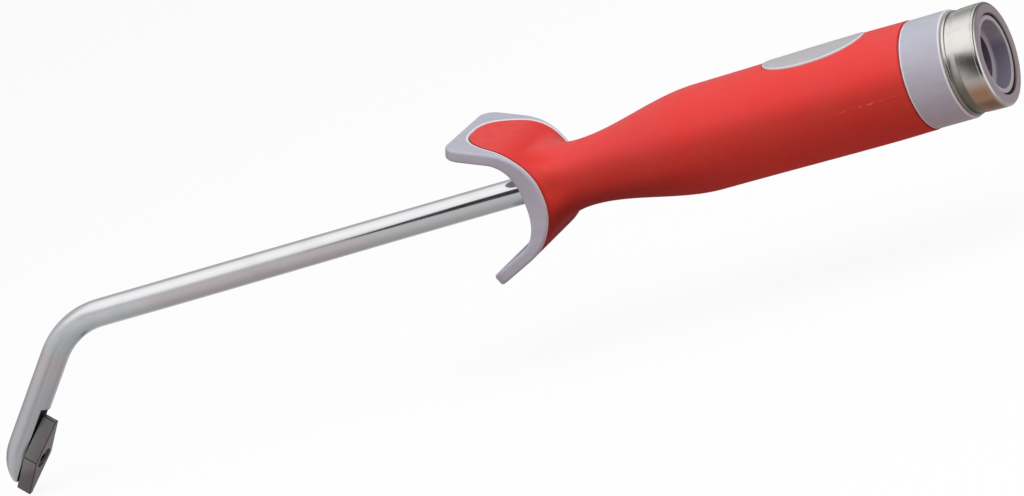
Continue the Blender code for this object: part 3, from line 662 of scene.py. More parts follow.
def make_bar_tree():
    """A tree that turns a path into the bent bar with its ground nose."""
    made = Recipe(bpy.data.node_groups.new("bent_bar_tree", "GeometryNodeTree"))
    sockets = made.tree.interface
    for kind, names in TREE_INPUTS.items():
        for name in names:
            sockets.new_socket(name, in_out="INPUT", socket_type="NodeSocket" + kind)
    sockets.new_socket("Bar", in_out="OUTPUT", socket_type="NodeSocketGeometry")
    given = made.add("NodeGroupInput").outputs
    bent = made.add("GeometryNodeFilletCurve", {"Curve": given["Path"], "Count": 48,
                                                "Radius": given["Bend Radius"]}, mode="POLY")
    even = made.add("GeometryNodeResampleCurve", {"Curve": bent.outputs["Curve"],
                                                  "Length": given["Step"]}, mode="LENGTH")
    here = made.add("GeometryNodeSplineParameter").outputs["Length"]
    whole = made.add("GeometryNodeSplineLength").outputs["Length"]
    to_end = made.math("DIVIDE", made.math("SUBTRACT", whole, here), given["Nose Length"])
    share = made.add("ShaderNodeClamp", {"Value": made.math("SUBTRACT", 1.0, to_end)}).outputs[0]
    rise = made.product(made.math("POWER", share, given["Nose Power"]), given["Nose Rise"])
    half_rise = made.product(rise, 0.5)
    drift = made.add("ShaderNodeVectorMath", {0: given["Insert Side"], "Scale": half_rise},
                     operation="SCALE").outputs["Vector"]
    here_x = made.parts(made.add("GeometryNodeInputPosition").outputs["Position"])["X"]
    swell = made.product(made.step(here_x, SWELL_FROM_X, SWELL_TO_X), given["Swell"])
    drift = made.add("ShaderNodeVectorMath", {0: given["Inner Side"], 1: swell, 2: drift},
                     operation="MULTIPLY_ADD").outputs["Vector"]
    path = made.add("GeometryNodeSetPosition", {"Geometry": even.outputs["Curve"], "Offset": drift})
    thickness = made.math("ADD", made.math("SUBTRACT", given["Bar Radius"], half_rise), swell)
    section = made.add("GeometryNodeCurvePrimitiveCircle", {"Resolution": given["Sides"], "Radius": 1.0},
                       mode="RADIUS")
    swept = made.add("GeometryNodeCurveToMesh", {
        "Curve": path.outputs["Geometry"], "Profile Curve": section.outputs["Curve"],
        "Scale": thickness, "Fill Caps": True})
    real = made.add("GeometryNodeRealizeInstances", {"Geometry": swept.outputs["Mesh"]})
    dressed = made.add("GeometryNodeSetMaterial", {"Geometry": real.outputs["Geometry"],
                                                   "Material": given["Finish"]})
    made.add("NodeGroupOutput", {"Bar": dressed.outputs["Geometry"]})
    return made.tree


bar_tree = make_bar_tree()
print("the bar's tree has", len(bar_tree.nodes), "nodes")

# %% Sweep the bar


def path_object(points):
    """A curve object of one open spline with straight segments."""
    curve = bpy.data.curves.new("path", "CURVE")
    curve.dimensions = "3D"
    spline = curve.splines.new("POLY")
    spline.points.add(len(points) - 1)
    for target, point in zip(spline.points, points):
        target.co = (*point, 1.0)
    return new_object("path", curve)


def run_tree(made, tree, values):
    """Run a tree on an object, and keep its result as a plain shape."""
    modifier = made.modifiers.new(tree.name, "NODES")
    modifier.node_group = tree
    for item in tree.interface.items_tree:
        if item.in_out == "INPUT" and item.name in values:
            modifier[item.identifier] = values[item.name]
    return close_up(result_of(made))


bar_path = path_object([Vector((TANG_LENGTH, 0.0, 0.0)), TIP_FRAME.translation,
                        TIP_FRAME @ Vector((TIP_LENGTH, 0.0, 0.0))])
bar_shape = run_tree(bar_path, bar_tree, {
    "Bar Radius": BAR_RADIUS, "Bend Radius": BEND_RADIUS, "Nose Length": NOSE_LENGTH,
    "Nose Rise": NOSE_RISE, "Nose Power": NOSE_POWER, "Insert Side": INSERT_SIDE, "Step": 0.7,
    "Inner Side": (Vector((1.0, 0.0, 0.0)) + ALONG_TIP).normalized(), "Swell": SWELL, "Sides": 72,
    "Finish": chrome_steel})
print("swept bar:", len(bar_shape.verts), "points")

# %% [markdown]
# ## Seat, screw hole and flats
# The insert lies in a flat ground into the bar and is held by one screw. Inside the handle two flats
# keep the bar from turning. These are plain cuts, so they are made as the workshop makes them: with
# a box for each flat and a round cutter for the hole. Both ends of the bar get a small rounding first.

# %% Cut the bar
INSERT_CENTRE = 47.4
INSERT_LENGTH = 28.1
SEAT_HEIGHT = 3.1
SEAT_RUNOUT = 2.7
SCREW_RADIUS = 1.8
SCREW_GRIP = 5.5
CUT_OVERRUN = 3.0
BAR_END_ROUND = 0.5
SEAT_CUTTER_SIDE = 8.0
SEAT_CUTTER_TOP = 12.0
FLAT_CUTTER_SIDE = 6.0
AT_INSERT = TIP_FRAME @ Matrix.Translation((INSERT_CENTRE, 0.0, 0.0))


def block(low, high):
    """A box between two corners, as a cutter."""
    middle = (Vector(high) + Vector(low)) / 2
    size = Matrix.Diagonal((*(Vector(high) - Vector(low)), 1.0))
    shape = bmesh.new()
    bmesh.ops.create_cube(shape, size=1.0, matrix=Matrix.Translation(middle) @ size)
    return shape


def stand_on_tip(shape):
    """Stand a turned shape up on the tip, with its X axis through the insert's screw."""
    return moved(shape, AT_INSERT @ Matrix.Rotation(-math.pi / 2, 4, "Y"))


def round_ends(shape, radius):
    """Round the rim of each flat end of the bar."""
    caps = [face for face in shape.faces if len(face.verts) > 8]
    rims = list({edge for face in caps for edge in face.edges})
    bmesh.ops.bevel(shape, geom=rims, offset=radius, segments=4, profile=0.5, affect="EDGES")


round_ends(bar_shape, BAR_END_ROUND)
seat_start = INSERT_CENTRE - INSERT_LENGTH / 2 - SEAT_RUNOUT
seat = moved(block((seat_start, -SEAT_CUTTER_SIDE, SEAT_HEIGHT),
                   (TIP_LENGTH + CUT_OVERRUN, SEAT_CUTTER_SIDE, SEAT_CUTTER_TOP)), TIP_FRAME)
hole_radius = SCREW_RADIUS + FIT_GAP
hole_bottom = SEAT_HEIGHT - SCREW_GRIP - FIT_GAP
screw_hole = stand_on_tip(turned([(SEAT_CUTTER_SIDE, 0.0), (SEAT_CUTTER_SIDE, hole_radius),
                                  (hole_bottom, hole_radius), (hole_bottom, 0.0)], 48))
flat_y = BAR_RADIUS - TANG_FLAT_DEPTH
flats = [block((TANG_FLAT_FROM, low_y, -FLAT_CUTTER_SIDE), (TANG_FLAT_TO, high_y, FLAT_CUTTER_SIDE))
         for low_y, high_y in ((-flat_y - CUT_OVERRUN, -flat_y), (flat_y, flat_y + CUT_OVERRUN))]
place("bent_bar", cut(bar_shape, seat, screw_hole, *flats), chrome_steel, "shank")

# %% [markdown]
# ## Insert
# The insert is a small ground plate, a long hexagon that scrapes with either pointed end. It could be
# an extruded curve, but a prism in bmesh lets every edge be bevelled at once, which gives the thin
# dark line that each edge shows in the photograph. The countersunk hole is cut last, with a chamfer.

# %% Insert
INSERT_WIDTH = 10.0
INSERT_END_WIDTH = 1.7
INSERT_THICKNESS = 4.7
INSERT_EDGE_ROUND = 0.28
INSERT_BACK = SEAT_HEIGHT + FIT_GAP
INSERT_FACE = INSERT_BACK + INSERT_THICKNESS
HOLE_CHAMFER = 0.15
SCREW_HEAD_RADIUS = 3.0
SCREW_HEAD_RIM = 0.3
SCREW_SINK = 0.5
SCREW_TOP = INSERT_FACE - SCREW_SINK


def prism(outline, low, high, rounding_size=0.0):
    """A plate from a flat outline, with its edges bevelled if a size is given."""
    shape = bmesh.new()
    lower, upper = [[shape.verts.new((x, y, z)) for x, y in outline] for z in (low, high)]
    shape.faces.new(lower[::-1])
    shape.faces.new(upper)
    for i in range(len(outline)):
        j = (i + 1) % len(outline)
        shape.faces.new((lower[i], lower[j], upper[j], upper[i]))
    bmesh.ops.recalc_face_normals(shape, faces=shape.faces)
    edge_share = shape.verts.layers.float.new("edge_share")
    if rounding_size:
        made = bmesh.ops.bevel(shape, geom=list(shape.edges), offset=rounding_size, segments=3,
                               profile=0.5, affect="EDGES")
        rounded = set(made["faces"])
        for vert in shape.verts:
            vert[edge_share] = float(all(face in rounded for face in vert.link_faces))
    return shape


def screw_profile(lip, grow, bottom):
    """Points (height, radius) of the countersunk screw under a given lip, or of its hole when grown by
    a clearance."""
    head = SCREW_HEAD_RADIUS + grow
    shaft = SCREW_RADIUS + grow
    rim = SCREW_TOP - SCREW_HEAD_RIM
    return lip + [(rim, head), (rim - (head - shaft), shaft), (bottom, shaft), (bottom, 0.0)]


half_length, half_end, half_width = INSERT_LENGTH / 2, INSERT_END_WIDTH / 2, INSERT_WIDTH / 2
hexagon = [(half_length, -half_end), (half_length, half_end), (0.0, half_width),
           (-half_length, half_end), (-half_length, -half_end), (0.0, -half_width)]
insert_shape = moved(prism(hexagon, INSERT_BACK, INSERT_FACE, INSERT_EDGE_ROUND), AT_INSERT)
hole_top = INSERT_FACE + CUT_OVERRUN
hole_head = SCREW_HEAD_RADIUS + FIT_GAP
hole_lip = [(hole_top, 0.0), (hole_top, hole_head + HOLE_CHAMFER), (INSERT_FACE, hole_head + HOLE_CHAMFER),
            (INSERT_FACE - HOLE_CHAMFER, hole_head)]
sink = stand_on_tip(turned(screw_profile(hole_lip, FIT_GAP, INSERT_BACK - CUT_OVERRUN), 96))
place("hard_insert", cut(insert_shape, sink), insert_carbide, "scraper_insert", 25.0)

# %% [markdown]
# ## Screw
# The screw is turned, so its profile is written down once and swept round. A hexagon socket is cut
# into its head. It sits a little below the insert's face: in the photograph only a dark spot shows.

# %% Screw
KEY_ACROSS = 2.5
KEY_DEPTH = 1.2
SCREW_CHAMFER = 0.12
screw_lip = [(SCREW_TOP, 0.0), (SCREW_TOP, SCREW_HEAD_RADIUS - SCREW_CHAMFER),
             (SCREW_TOP - SCREW_CHAMFER, SCREW_HEAD_RADIUS)]
screw_shape = stand_on_tip(turned(screw_profile(screw_lip, 0.0, SEAT_HEIGHT - SCREW_GRIP), 72))
corner = KEY_ACROSS / 2 / math.cos(math.pi / 6)
key_outline = [(corner * math.cos(i * math.pi / 3), corner * math.sin(i * math.pi / 3)) for i in range(6)]
key = moved(prism(key_outline, SCREW_TOP - KEY_DEPTH, SCREW_TOP + 1.0), AT_INSERT)
place("hex_screw", cut(screw_shape, key), black_steel, "insert_screw", 25.0)

# %% [markdown]
# ## Guard
# The guard is a saddle-shaped plate: its back is one round curve in the middle with a straight wing on
# each side, and it is measured along that curve. Every ring of its skin is an outline in (length along
# the back, sideways) pairs, laid onto the curve and lifted off it. The outline of the plate and the
# outline of the soft inlay have different shapes, so both are read on the same rays from the middle,
# which lets the rim, the rounded lip and the recess follow each other without a cut.

# %% Curves of the guard
GUARD_THICKNESS = 5.8
WING_THICKNESS = 3.5
GUARD_HALF_LENGTH = 34.66
HALF_GUARD = 16.8
GUARD_WAIST = 1.6
GUARD_WAIST_REACH = 23.0
GUARD_WING_ANGLE = math.radians(22.0)
GUARD_BACK_RADIUS = 17.0
GUARD_BACK_FLAT = 1.0
GUARD_CORNER_RADIUS = 5.0
GUARD_EDGE_ROUND = 0.8
WING_TURN = math.pi / 2 - GUARD_WING_ANGLE
INLAY_HALF_LENGTH = 31.1
INLAY_HALF_WIDTH = 14.8
INLAY_WAIST = 1.4
INLAY_WAIST_REACH = 16.0
INLAY_POWER = 2.8
INLAY_DEPTH = 1.2


def guard_back(along):
    """Point and outward normal on the guard's back, at a length along it from its middle."""
    length = abs(along)
    side = math.copysign(1.0, along)
    turn = min(max(length - GUARD_BACK_FLAT, 0.0) / GUARD_BACK_RADIUS, WING_TURN)
    wing = max(length - GUARD_BACK_FLAT - GUARD_BACK_RADIUS * WING_TURN, 0.0)
    x = GUARD_THICKNESS - GUARD_BACK_RADIUS * (1.0 - math.cos(turn)) - wing * math.cos(GUARD_WING_ANGLE)
    z = min(length, GUARD_BACK_FLAT) + GUARD_BACK_RADIUS * math.sin(turn) + wing * math.sin(GUARD_WING_ANGLE)
    return Vector((x, 0.0, side * z)), Vector((math.cos(turn), 0.0, side * math.sin(turn)))


def along_guard_back(z):
    """The length along the guard's back at which it reaches a height."""
    height = abs(z)
    arc_top = GUARD_BACK_FLAT + GUARD_BACK_RADIUS * math.sin(WING_TURN)
    if height <= GUARD_BACK_FLAT:
        length = height
    elif height <= arc_top:
        turn = math.asin((height - GUARD_BACK_FLAT) / GUARD_BACK_RADIUS)
        length = GUARD_BACK_FLAT + GUARD_BACK_RADIUS * turn
    else:
        length = GUARD_BACK_FLAT + GUARD_BACK_RADIUS * WING_TURN
        length += (height - arc_top) / math.sin(GUARD_WING_ANGLE)
    return math.copysign(length, z)


def guard_thickness(along):
    """Thickness of the guard, thinner out to the wings."""
    share = min(max(abs(along) - GUARD_BACK_FLAT, 0.0) / (GUARD_BACK_RADIUS * WING_TURN), 1.0)
    return WING_THICKNESS + (GUARD_THICKNESS - WING_THICKNESS) * math.cos(share * math.pi / 2) ** 2


def waist(along, depth, reach):
    """How far a side is drawn in towards the middle of the guard."""
    return depth * max(1.0 - (along / reach) ** 2, 0.0) ** 2


def on_guard(along, across, lift):
    """A point over the guard's back, lifted along its normal."""
    point, normal = guard_back(along)
    point = point + normal * lift
    return Vector((point.x, across, point.z))


print("the wings end", round(guard_back(GUARD_HALF_LENGTH)[0].z, 1), "mm above the axis")

# %% Outlines of the guard and of the inlay


def superellipse(angle, half_length, half_width, power):
    """A point on an oval with blunt corners."""
    return tuple(half * math.copysign(abs(value) ** (2.0 / power), value)
                 for half, value in ((half_length, math.cos(angle)), (half_width, math.sin(angle))))


def inlay_point(angle, grow=0.0):
    """The inlay's edge, as (length along the back, sideways)."""
    along, across = superellipse(angle, INLAY_HALF_LENGTH + grow, INLAY_HALF_WIDTH + grow, INLAY_POWER)
    return along, across - waist(along, INLAY_WAIST, INLAY_WAIST_REACH) * across / INLAY_HALF_WIDTH


def outside_guard(along, across, inset):
    """Whether a point lies outside the guard's outline, drawn in by an inset."""
    full_across = across / (1.0 - waist(along, GUARD_WAIST, GUARD_WAIST_REACH) / HALF_GUARD)
    past_end = abs(along) - (GUARD_HALF_LENGTH - GUARD_CORNER_RADIUS)
    past_side = abs(full_across) - (HALF_GUARD - GUARD_CORNER_RADIUS)
    corner_distance = math.hypot(max(past_end, 0.0), max(past_side, 0.0))
    return corner_distance + min(max(past_end, past_side), 0.0) - GUARD_CORNER_RADIUS > -inset


def guard_point(angle, inset):
    """The guard's outline on the ray through the inlay's edge at an angle, found by halving."""
    along, across = inlay_point(angle)
    low, high = 0.5, 2.0
    for _ in range(40):
        middle = (low + high) / 2
        if outside_guard(along * middle, across * middle, inset):
            high = middle
        else:
            low = middle
    return along * low, across * low


print("the guard is", round(2 * guard_point(math.pi / 2, 0.0)[1], 1), "mm wide at its waist")

# %% Skin of the guard
GUARD_COLUMNS = angles_round(256)
LIP_ROUND = 0.45
RIM_BESIDE_LIP = 0.36
JOINT_GAP = 0.06
BAR_HOLE_RADIUS = BAR_RADIUS + FIT_GAP
WAIST_RIM_REACH = 20.0
WAIST_RIM_RINGS = 5


def lay_on_guard(outline, lift, front=False):
    """Lay an outline onto the guard's back, or onto its front face."""
    return [on_guard(along, across, lift - (guard_thickness(along) if front else 0.0))
            for along, across in outline]


def between(first, second, share):
    """An outline part of the way from one to another."""
    return [(a[0] + (b[0] - a[0]) * share, a[1] + (b[1] - a[1]) * share) for a, b in zip(first, second)]


def inlay_outline(grow):
    """The inlay's edge all round."""
    return [inlay_point(angle, grow) for angle in GUARD_COLUMNS]


def guard_rings():
    """Rings from the bar's hole over the front, the edge, the rim and the recess, back to the hole,
    and the numbers of the rings on the lip round the recess."""
    hole = [(BAR_HOLE_RADIUS * math.cos(a), BAR_HOLE_RADIUS * math.sin(a)) for a in GUARD_COLUMNS]
    rounds = [([guard_point(a, inset) for a in GUARD_COLUMNS], drop)
              for inset, drop in rounding(GUARD_EDGE_ROUND)]
    edge = rounds[0][0]
    brim = inlay_outline(JOINT_GAP + LIP_ROUND + RIM_BESIDE_LIP)
    rings = [lay_on_guard(between(hole, edge, share), 0.0, True) for share in stations(0.0, 1.0, 14)]
    rings += [lay_on_guard(outline, drop, True) for outline, drop in rounds[1:]]
    rings += [lay_on_guard(outline, -drop) for outline, drop in reversed(rounds)]
    rings += [lay_on_guard(between(edge, brim, share), 0.0) for share in (0.35, 0.7, 1.0)]
    first_lip = len(rings)
    lip = inlay_outline(JOINT_GAP + LIP_ROUND)
    rings += [lay_on_guard(between(brim, lip, share), 0.0) for share in (0.4, 1.0)]
    rings += [lay_on_guard(inlay_outline(JOINT_GAP + inset), -drop)
              for inset, drop in rounding(LIP_ROUND)[1:]]
    lip_rings = range(first_lip, len(rings))
    floor = -INLAY_DEPTH - FIT_GAP
    wall = inlay_outline(JOINT_GAP)
    rings += [lay_on_guard(between(wall, hole, share), floor) for share in stations(0.0, 1.0, 10)]
    return rings, lip_rings


GUARD_RINGS, LIP_RINGS = guard_rings()


def on_lip(number, column):
    """How much pale painted highlight a point of the guard gets: 1 on the lip, and less on the narrow rim at
    the waist.
    """
    if number in LIP_RINGS:
        return 1.0
    along = inlay_point(GUARD_COLUMNS[column])[0]
    beside_lip = LIP_RINGS[0] - WAIST_RIM_RINGS <= number < LIP_RINGS[0]
    return 0.6 * max(1.0 - (along / WAIST_RIM_REACH) ** 2, 0.0) if beside_lip else 0.0


guard_shape = close_up(skin(GUARD_RINGS, closed=True, edge=on_lip))
print("the guard has", len(guard_shape.faces), "faces")

# %% [markdown]
# ## Stem, collar and hollow end
# Behind the guard the hard core is turned: a stem that the soft sleeve hides, then the collar, then
# the boss that carries the steel ring, with a stepped hollow. One profile describes all of it. Each
# visible edge is a small arc, because it is the rounding that catches the light.

# %% Grip's radius and the core's profile
NECK_RADIUS = 9.5
NECK_X = 14.0
SHOULDER_RADIUS = 15.1
SHOULDER_X = 54.0
BELLY_RADIUS = 15.45
BELLY_X = 108.0
SLEEVE_END_RADIUS = 15.3
SLEEVE_WALL = 2.5
COLLAR_X = 119.8
COLLAR_RADIUS = 15.1
COLLAR_FRONT_ROUND = 0.6
COLLAR_BACK_ROUND = 0.45
RING_X = 131.8
BOSS_X = 141.55
BOSS_RADIUS = 10.9
BOSS_ROUND = 0.3
BORE_RADIUS = 9.5
BORE_STEP_X = 137.15
BORE_STEP_ROUND = 0.4
SOCKET_RADIUS = 7.2
SOCKET_BOTTOM_X = 110.15
GRIP_STAGES = ((NECK_X, NECK_RADIUS), (SHOULDER_X, SHOULDER_RADIUS), (BELLY_X, BELLY_RADIUS),
               (COLLAR_X, SLEEVE_END_RADIUS))
EAST, NORTH, WEST, SOUTH = 0.0, math.pi / 2, math.pi, -math.pi / 2


def grip_radius(x):
    """Outer radius of the soft sleeve along the handle, eased from stage to stage."""
    for (start, low), (end, high) in zip(GRIP_STAGES, GRIP_STAGES[1:]):
        if x <= end:
            break
    return low + (high - low) * ease((x - start) / (end - start))


def core_profile():
    """Points (x, radius) from the end of the bar's hole over the outside to the socket's bottom."""
    hole_end = TANG_LENGTH + FIT_GAP
    root = GUARD_THICKNESS / 2
    stem = [(x, grip_radius(x) - SLEEVE_WALL - FIT_GAP) for x in stations(NECK_X, COLLAR_X, 40)]
    profile = [(hole_end, 0.0), (hole_end, BAR_HOLE_RADIUS), (root, BAR_HOLE_RADIUS), (root, stem[0][1])]
    profile += stem
    size = COLLAR_FRONT_ROUND
    profile += arc((COLLAR_X + size, COLLAR_RADIUS - size), size, WEST, NORTH, 6)
    profile += [(COLLAR_X + 0.75, COLLAR_RADIUS), (RING_X - 0.6, COLLAR_RADIUS)]
    size = COLLAR_BACK_ROUND
    profile += arc((RING_X - size, COLLAR_RADIUS - size), size, NORTH, EAST, 6)
    profile += [(RING_X, BOSS_RADIUS)]
    size = BOSS_ROUND
    profile += arc((BOSS_X - size, BOSS_RADIUS - size), size, NORTH, EAST, 5)
    profile += arc((BOSS_X - size, BORE_RADIUS + size), size, EAST, SOUTH, 5)
    step = BORE_STEP_ROUND
    profile += arc((BORE_STEP_X + step, BORE_RADIUS - step), step, NORTH, WEST, 5)
    profile += arc((BORE_STEP_X - size, SOCKET_RADIUS + size), size, EAST, SOUTH, 5)
    profile += [(SOCKET_BOTTOM_X, SOCKET_RADIUS), (SOCKET_BOTTOM_X, 0.0)]
    return profile


CORE_PROFILE = core_profile()


def on_collar_edge(number, column):
    """How much pale painted highlight a row of the turned core gets: 1 on both roundings of the collar,
    and less on the rim of the boss and on the step in its hollow."""
    x, radius = CORE_PROFILE[number + 1]
    near_edge = COLLAR_X + 0.01 < x < COLLAR_X + 0.65 or RING_X - 0.40 < x < RING_X + 0.01
    if near_edge and radius > COLLAR_RADIUS - 0.5:
        return 1.0
    if x > BOSS_X - 0.29:
        return 0.3
    on_step = -0.29 < x - BORE_STEP_X < 0.01 and radius < BORE_RADIUS - 0.3
    return 0.55 if on_step else 0.0


stem_shape = turned(CORE_PROFILE, 160, edge=on_collar_edge)
print("the core is", round(2 * COLLAR_RADIUS, 1), "mm across its collar")

# %% [markdown]
# ## Thumb pad
# The pad is part of the hard core and stands slightly proud in a window of the soft sleeve. Seen from
# above it is a superellipse, and its top follows the handle's round. A fan of rings from its middle
# out to a rounded edge, then straight down into the core, gives that without any cutting.

# %% Thumb pad
PAD_CENTRE_X = 92.3
PAD_HALF_LENGTH = 15.45
PAD_HALF_WIDTH = 6.8
PAD_PROUD = 0.32
PAD_POWER = 2.3
PAD_EDGE_ROUND = 0.26
PAD_WALL_DEPTH = 3.6
PAD_BOTTOM_DEPTH = 5.0
PAD_RAYS = [superellipse(a, PAD_HALF_LENGTH, PAD_HALF_WIDTH, PAD_POWER) for a in angles_round(144)]


def pad_reach(across_x, across_y, grow):
    """The pad's outline, grown by a distance, in the direction of a vector from its middle."""
    far_x = abs(across_x) / (PAD_HALF_LENGTH + grow)
    far_y = abs(across_y) / (PAD_HALF_WIDTH + grow)
    scale = (far_x ** PAD_POWER + far_y ** PAD_POWER) ** (-1.0 / PAD_POWER)
    return PAD_CENTRE_X + across_x * scale, across_y * scale


def on_round(x, y, radius, drop=0.0):
    """A point on a round of the handle, over the point (x, y)."""
    return Vector((x, y, math.sqrt(max(radius ** 2 - y ** 2, 0.0)) - drop))


def pad_ring(grow, share, drop):
    """A ring over the pad, part of the way from its middle to its outline."""
    points = []
    for ray in PAD_RAYS:
        x, y = pad_reach(*ray, grow)
        x = PAD_CENTRE_X + (x - PAD_CENTRE_X) * share
        points.append(on_round(x, y * share, grip_radius(x) + PAD_PROUD, drop))
    return points


top_rings = [pad_ring(-PAD_EDGE_ROUND, share, 0.0) for share in stations(0.0, 1.0, 14)[1:]]
edge_rings = [pad_ring(-inset, 1.0, drop) for inset, drop in rounding(PAD_EDGE_ROUND)[1:]]
pad_top = on_round(PAD_CENTRE_X, 0.0, grip_radius(PAD_CENTRE_X) + PAD_PROUD)
# The pad's rounded edge and wall get a pale painted highlight.
pad_shape = close_up(skin(top_rings + edge_rings + [pad_ring(0.0, 1.0, PAD_WALL_DEPTH)],
                          tips=(pad_top, pad_top - Vector((0.0, 0.0, PAD_BOTTOM_DEPTH))),
                          edge=lambda number, column: float(number >= len(top_rings))))
place("grey_core", join(guard_shape, stem_shape, pad_shape), grey_plastic, "handle_core")

# %% [markdown]
# ## Soft sleeve
# The sleeve starts as the inlay in the guard's back, flares into a narrow neck, swells to the grip and
# ends at the collar. Its rings run out over the outside and back through the bore, so it is a closed
# skin with a real wall. Two details are built into the rings: a fine raised line where the halves of
# the mould met, with a little flash near the collar, and rounded edges at both ends.

# %% Rings of the sleeve
FLARE_TOP_SHARE = 0.28
FLARE_SIDE_SHARE = 0.90
SLEEVE_EDGE_ROUND = 0.28
PARTING_HEIGHT = 0.03
PARTING_HALF_WIDTH = 0.8
PARTING_OFFSETS = (-0.9, -0.45, 0.45, 0.9)
FLASH_HEIGHT = 0.13
FLASH_FROM_X = 96.0
SLEEVE_END = COLLAR_X - JOINT_GAP
GRIP_PLACES = stations(NECK_X, SLEEVE_END - SLEEVE_EDGE_ROUND, 104)
beside_lines = [middle + offset for middle in (90.0, 270.0) for offset in PARTING_OFFSETS]
SLEEVE_COLUMNS = [math.radians(angle) for angle in sorted([1.5 * i for i in range(240)] + beside_lines)]


def parting_line(x, angle):
    """Height of the mould's parting line, with some flash near the collar."""
    from_line = abs(abs(math.degrees(angle) - 180.0) - 90.0)
    ridge = max(1.0 - from_line / PARTING_HALF_WIDTH, 0.0)
    waves = max(math.sin(2.9 * x) * math.sin(1.7 * x + 1.0), 0.0)
    flash = FLASH_HEIGHT * ease((x - FLASH_FROM_X) / 3.0) * waves
    return ridge * (PARTING_HEIGHT * ease((x - NECK_X) / 8.0) + flash)


def grip_ring(x):
    """A ring over the outside of the grip, with the parting line on it."""
    return [ring_at(x, grip_radius(x) + parting_line(x, a), [a])[0] for a in SLEEVE_COLUMNS]


def on_neck(angle):
    """A point of the neck's round, as (sideways, height)."""
    return Vector((math.sin(angle), math.cos(angle))) * NECK_RADIUS


def flare_foot(angle):
    """Where the flare leaves the guard's back, as (sideways, height)."""
    along, across = inlay_point(angle)
    edge = Vector((across, guard_back(along)[0].z))
    share = FLARE_TOP_SHARE + (FLARE_SIDE_SHARE - FLARE_TOP_SHARE) * math.sin(angle) ** 2
    return on_neck(angle).lerp(edge, share)


def bore_foot(angle):
    """Where the sleeve's bore meets the underside of the inlay."""
    bore = grip_radius(NECK_X) - SLEEVE_WALL
    height = bore * math.cos(angle)
    normal = guard_back(along_guard_back(height))[1]
    return Vector((bore * math.sin(angle), height + normal.z * INLAY_DEPTH))


def inlay_ring(share, lift, inner, grow=0.0):
    """Ring on the guard's back, from the inlay's edge at share 0 to an inner ring at share 1."""
    edge = [inlay_point(angle, grow) for angle in SLEEVE_COLUMNS]
    feet = [inner(angle) for angle in SLEEVE_COLUMNS]
    ends = [(along_guard_back(foot.y), foot.x) for foot in feet]
    return [on_guard(along, across, lift) for along, across in between(edge, ends, share)]


def flare_ring(share):
    """Ring on the flare, from the guard's back at share 0 to the neck at share 1."""
    ring = []
    turn = share * math.pi / 2
    for angle in SLEEVE_COLUMNS:
        across, height = on_neck(angle).lerp(flare_foot(angle), 1.0 - math.sin(turn))
        foot = guard_back(along_guard_back(height))[0]
        ring.append(Vector((foot.x + (NECK_X - foot.x) * (1.0 - math.cos(turn)), across, height)))
    return ring


def sleeve_rings():
    """All rings: inlay, flare, grip and rounded end outside, then the bore and the underside."""
    rings = [inlay_ring(0.0, -drop, flare_foot, -inset)
             for inset, drop in reversed(rounding(SLEEVE_EDGE_ROUND)[1:])]
    edge_count = len(rings)
    rings += [inlay_ring(share, 0.0, flare_foot, -SLEEVE_EDGE_ROUND) for share in stations(0.0, 1.0, 16)]
    rings += [flare_ring(share) for share in stations(0.0, 1.0, 24)[1:-1]]
    first_grip = len(rings)
    rings += [grip_ring(x) for x in GRIP_PLACES]
    rings += [ring_at(SLEEVE_END - inset, SLEEVE_END_RADIUS - drop, SLEEVE_COLUMNS)
              for inset, drop in rounding(SLEEVE_EDGE_ROUND)[1:]]
    rings.append(ring_at(SLEEVE_END, SLEEVE_END_RADIUS - SLEEVE_WALL, SLEEVE_COLUMNS))
    first_bore = len(rings)
    rings += [ring_at(x, grip_radius(x) - SLEEVE_WALL, SLEEVE_COLUMNS) for x in reversed(GRIP_PLACES)]
    rings += [inlay_ring(1.0 - share, -INLAY_DEPTH, bore_foot) for share in stations(0.0, 1.0, 8)]
    return rings, edge_count, first_grip, first_bore


SLEEVE_RINGS, INLAY_EDGE_COUNT, FIRST_GRIP_RING, FIRST_BORE_RING = sleeve_rings()


def on_sleeve_edge(number, column):
    """How much painted shade a ring of the sleeve gets at a joint: 1 at the guard, and half that at the
    collar.
    """
    if number < INLAY_EDGE_COUNT:
        return 1.0
    return 0.5 if FIRST_GRIP_RING + len(GRIP_PLACES) <= number < FIRST_BORE_RING else 0.0


print("the sleeve has", len(SLEEVE_RINGS), "rings of", len(SLEEVE_COLUMNS), "points")

# %% [markdown]
# ## Window for the pad
# The pad's window could be cut with a Boolean, but a cut leaves slivers that no bevel likes. Instead a
# rectangle of faces is left open in the grid, outside and in the bore. Rings then run from the edge of
# that rectangle to the window's outline, over a rounded lip, through the wall and out to the bore.

# %% Sleeve with its window
WINDOW_MARGIN = 3.4
WINDOW_SIDE_COLUMNS = 24
WINDOW_LIP = 0.28
WINDOW_FLAT_STEPS = 8
window_reach = PAD_HALF_LENGTH + WINDOW_MARGIN
window_places = [i for i, x in enumerate(GRIP_PLACES) if abs(x - PAD_CENTRE_X) <= window_reach]
WINDOW_FIRST, WINDOW_LAST = window_places[0], window_places[-1]
LAST_GRIP_PLACE = len(GRIP_PLACES) - 1


def in_window(ring, column):
    """Whether a face of the grid belongs to the rectangle that is left open."""
    if WINDOW_SIDE_COLUMNS <= column < len(SLEEVE_COLUMNS) - WINDOW_SIDE_COLUMNS:
        return False
    if ring < FIRST_BORE_RING:
        return WINDOW_FIRST <= ring - FIRST_GRIP_RING < WINDOW_LAST
    return WINDOW_FIRST < LAST_GRIP_PLACE - (ring - FIRST_BORE_RING) <= WINDOW_LAST


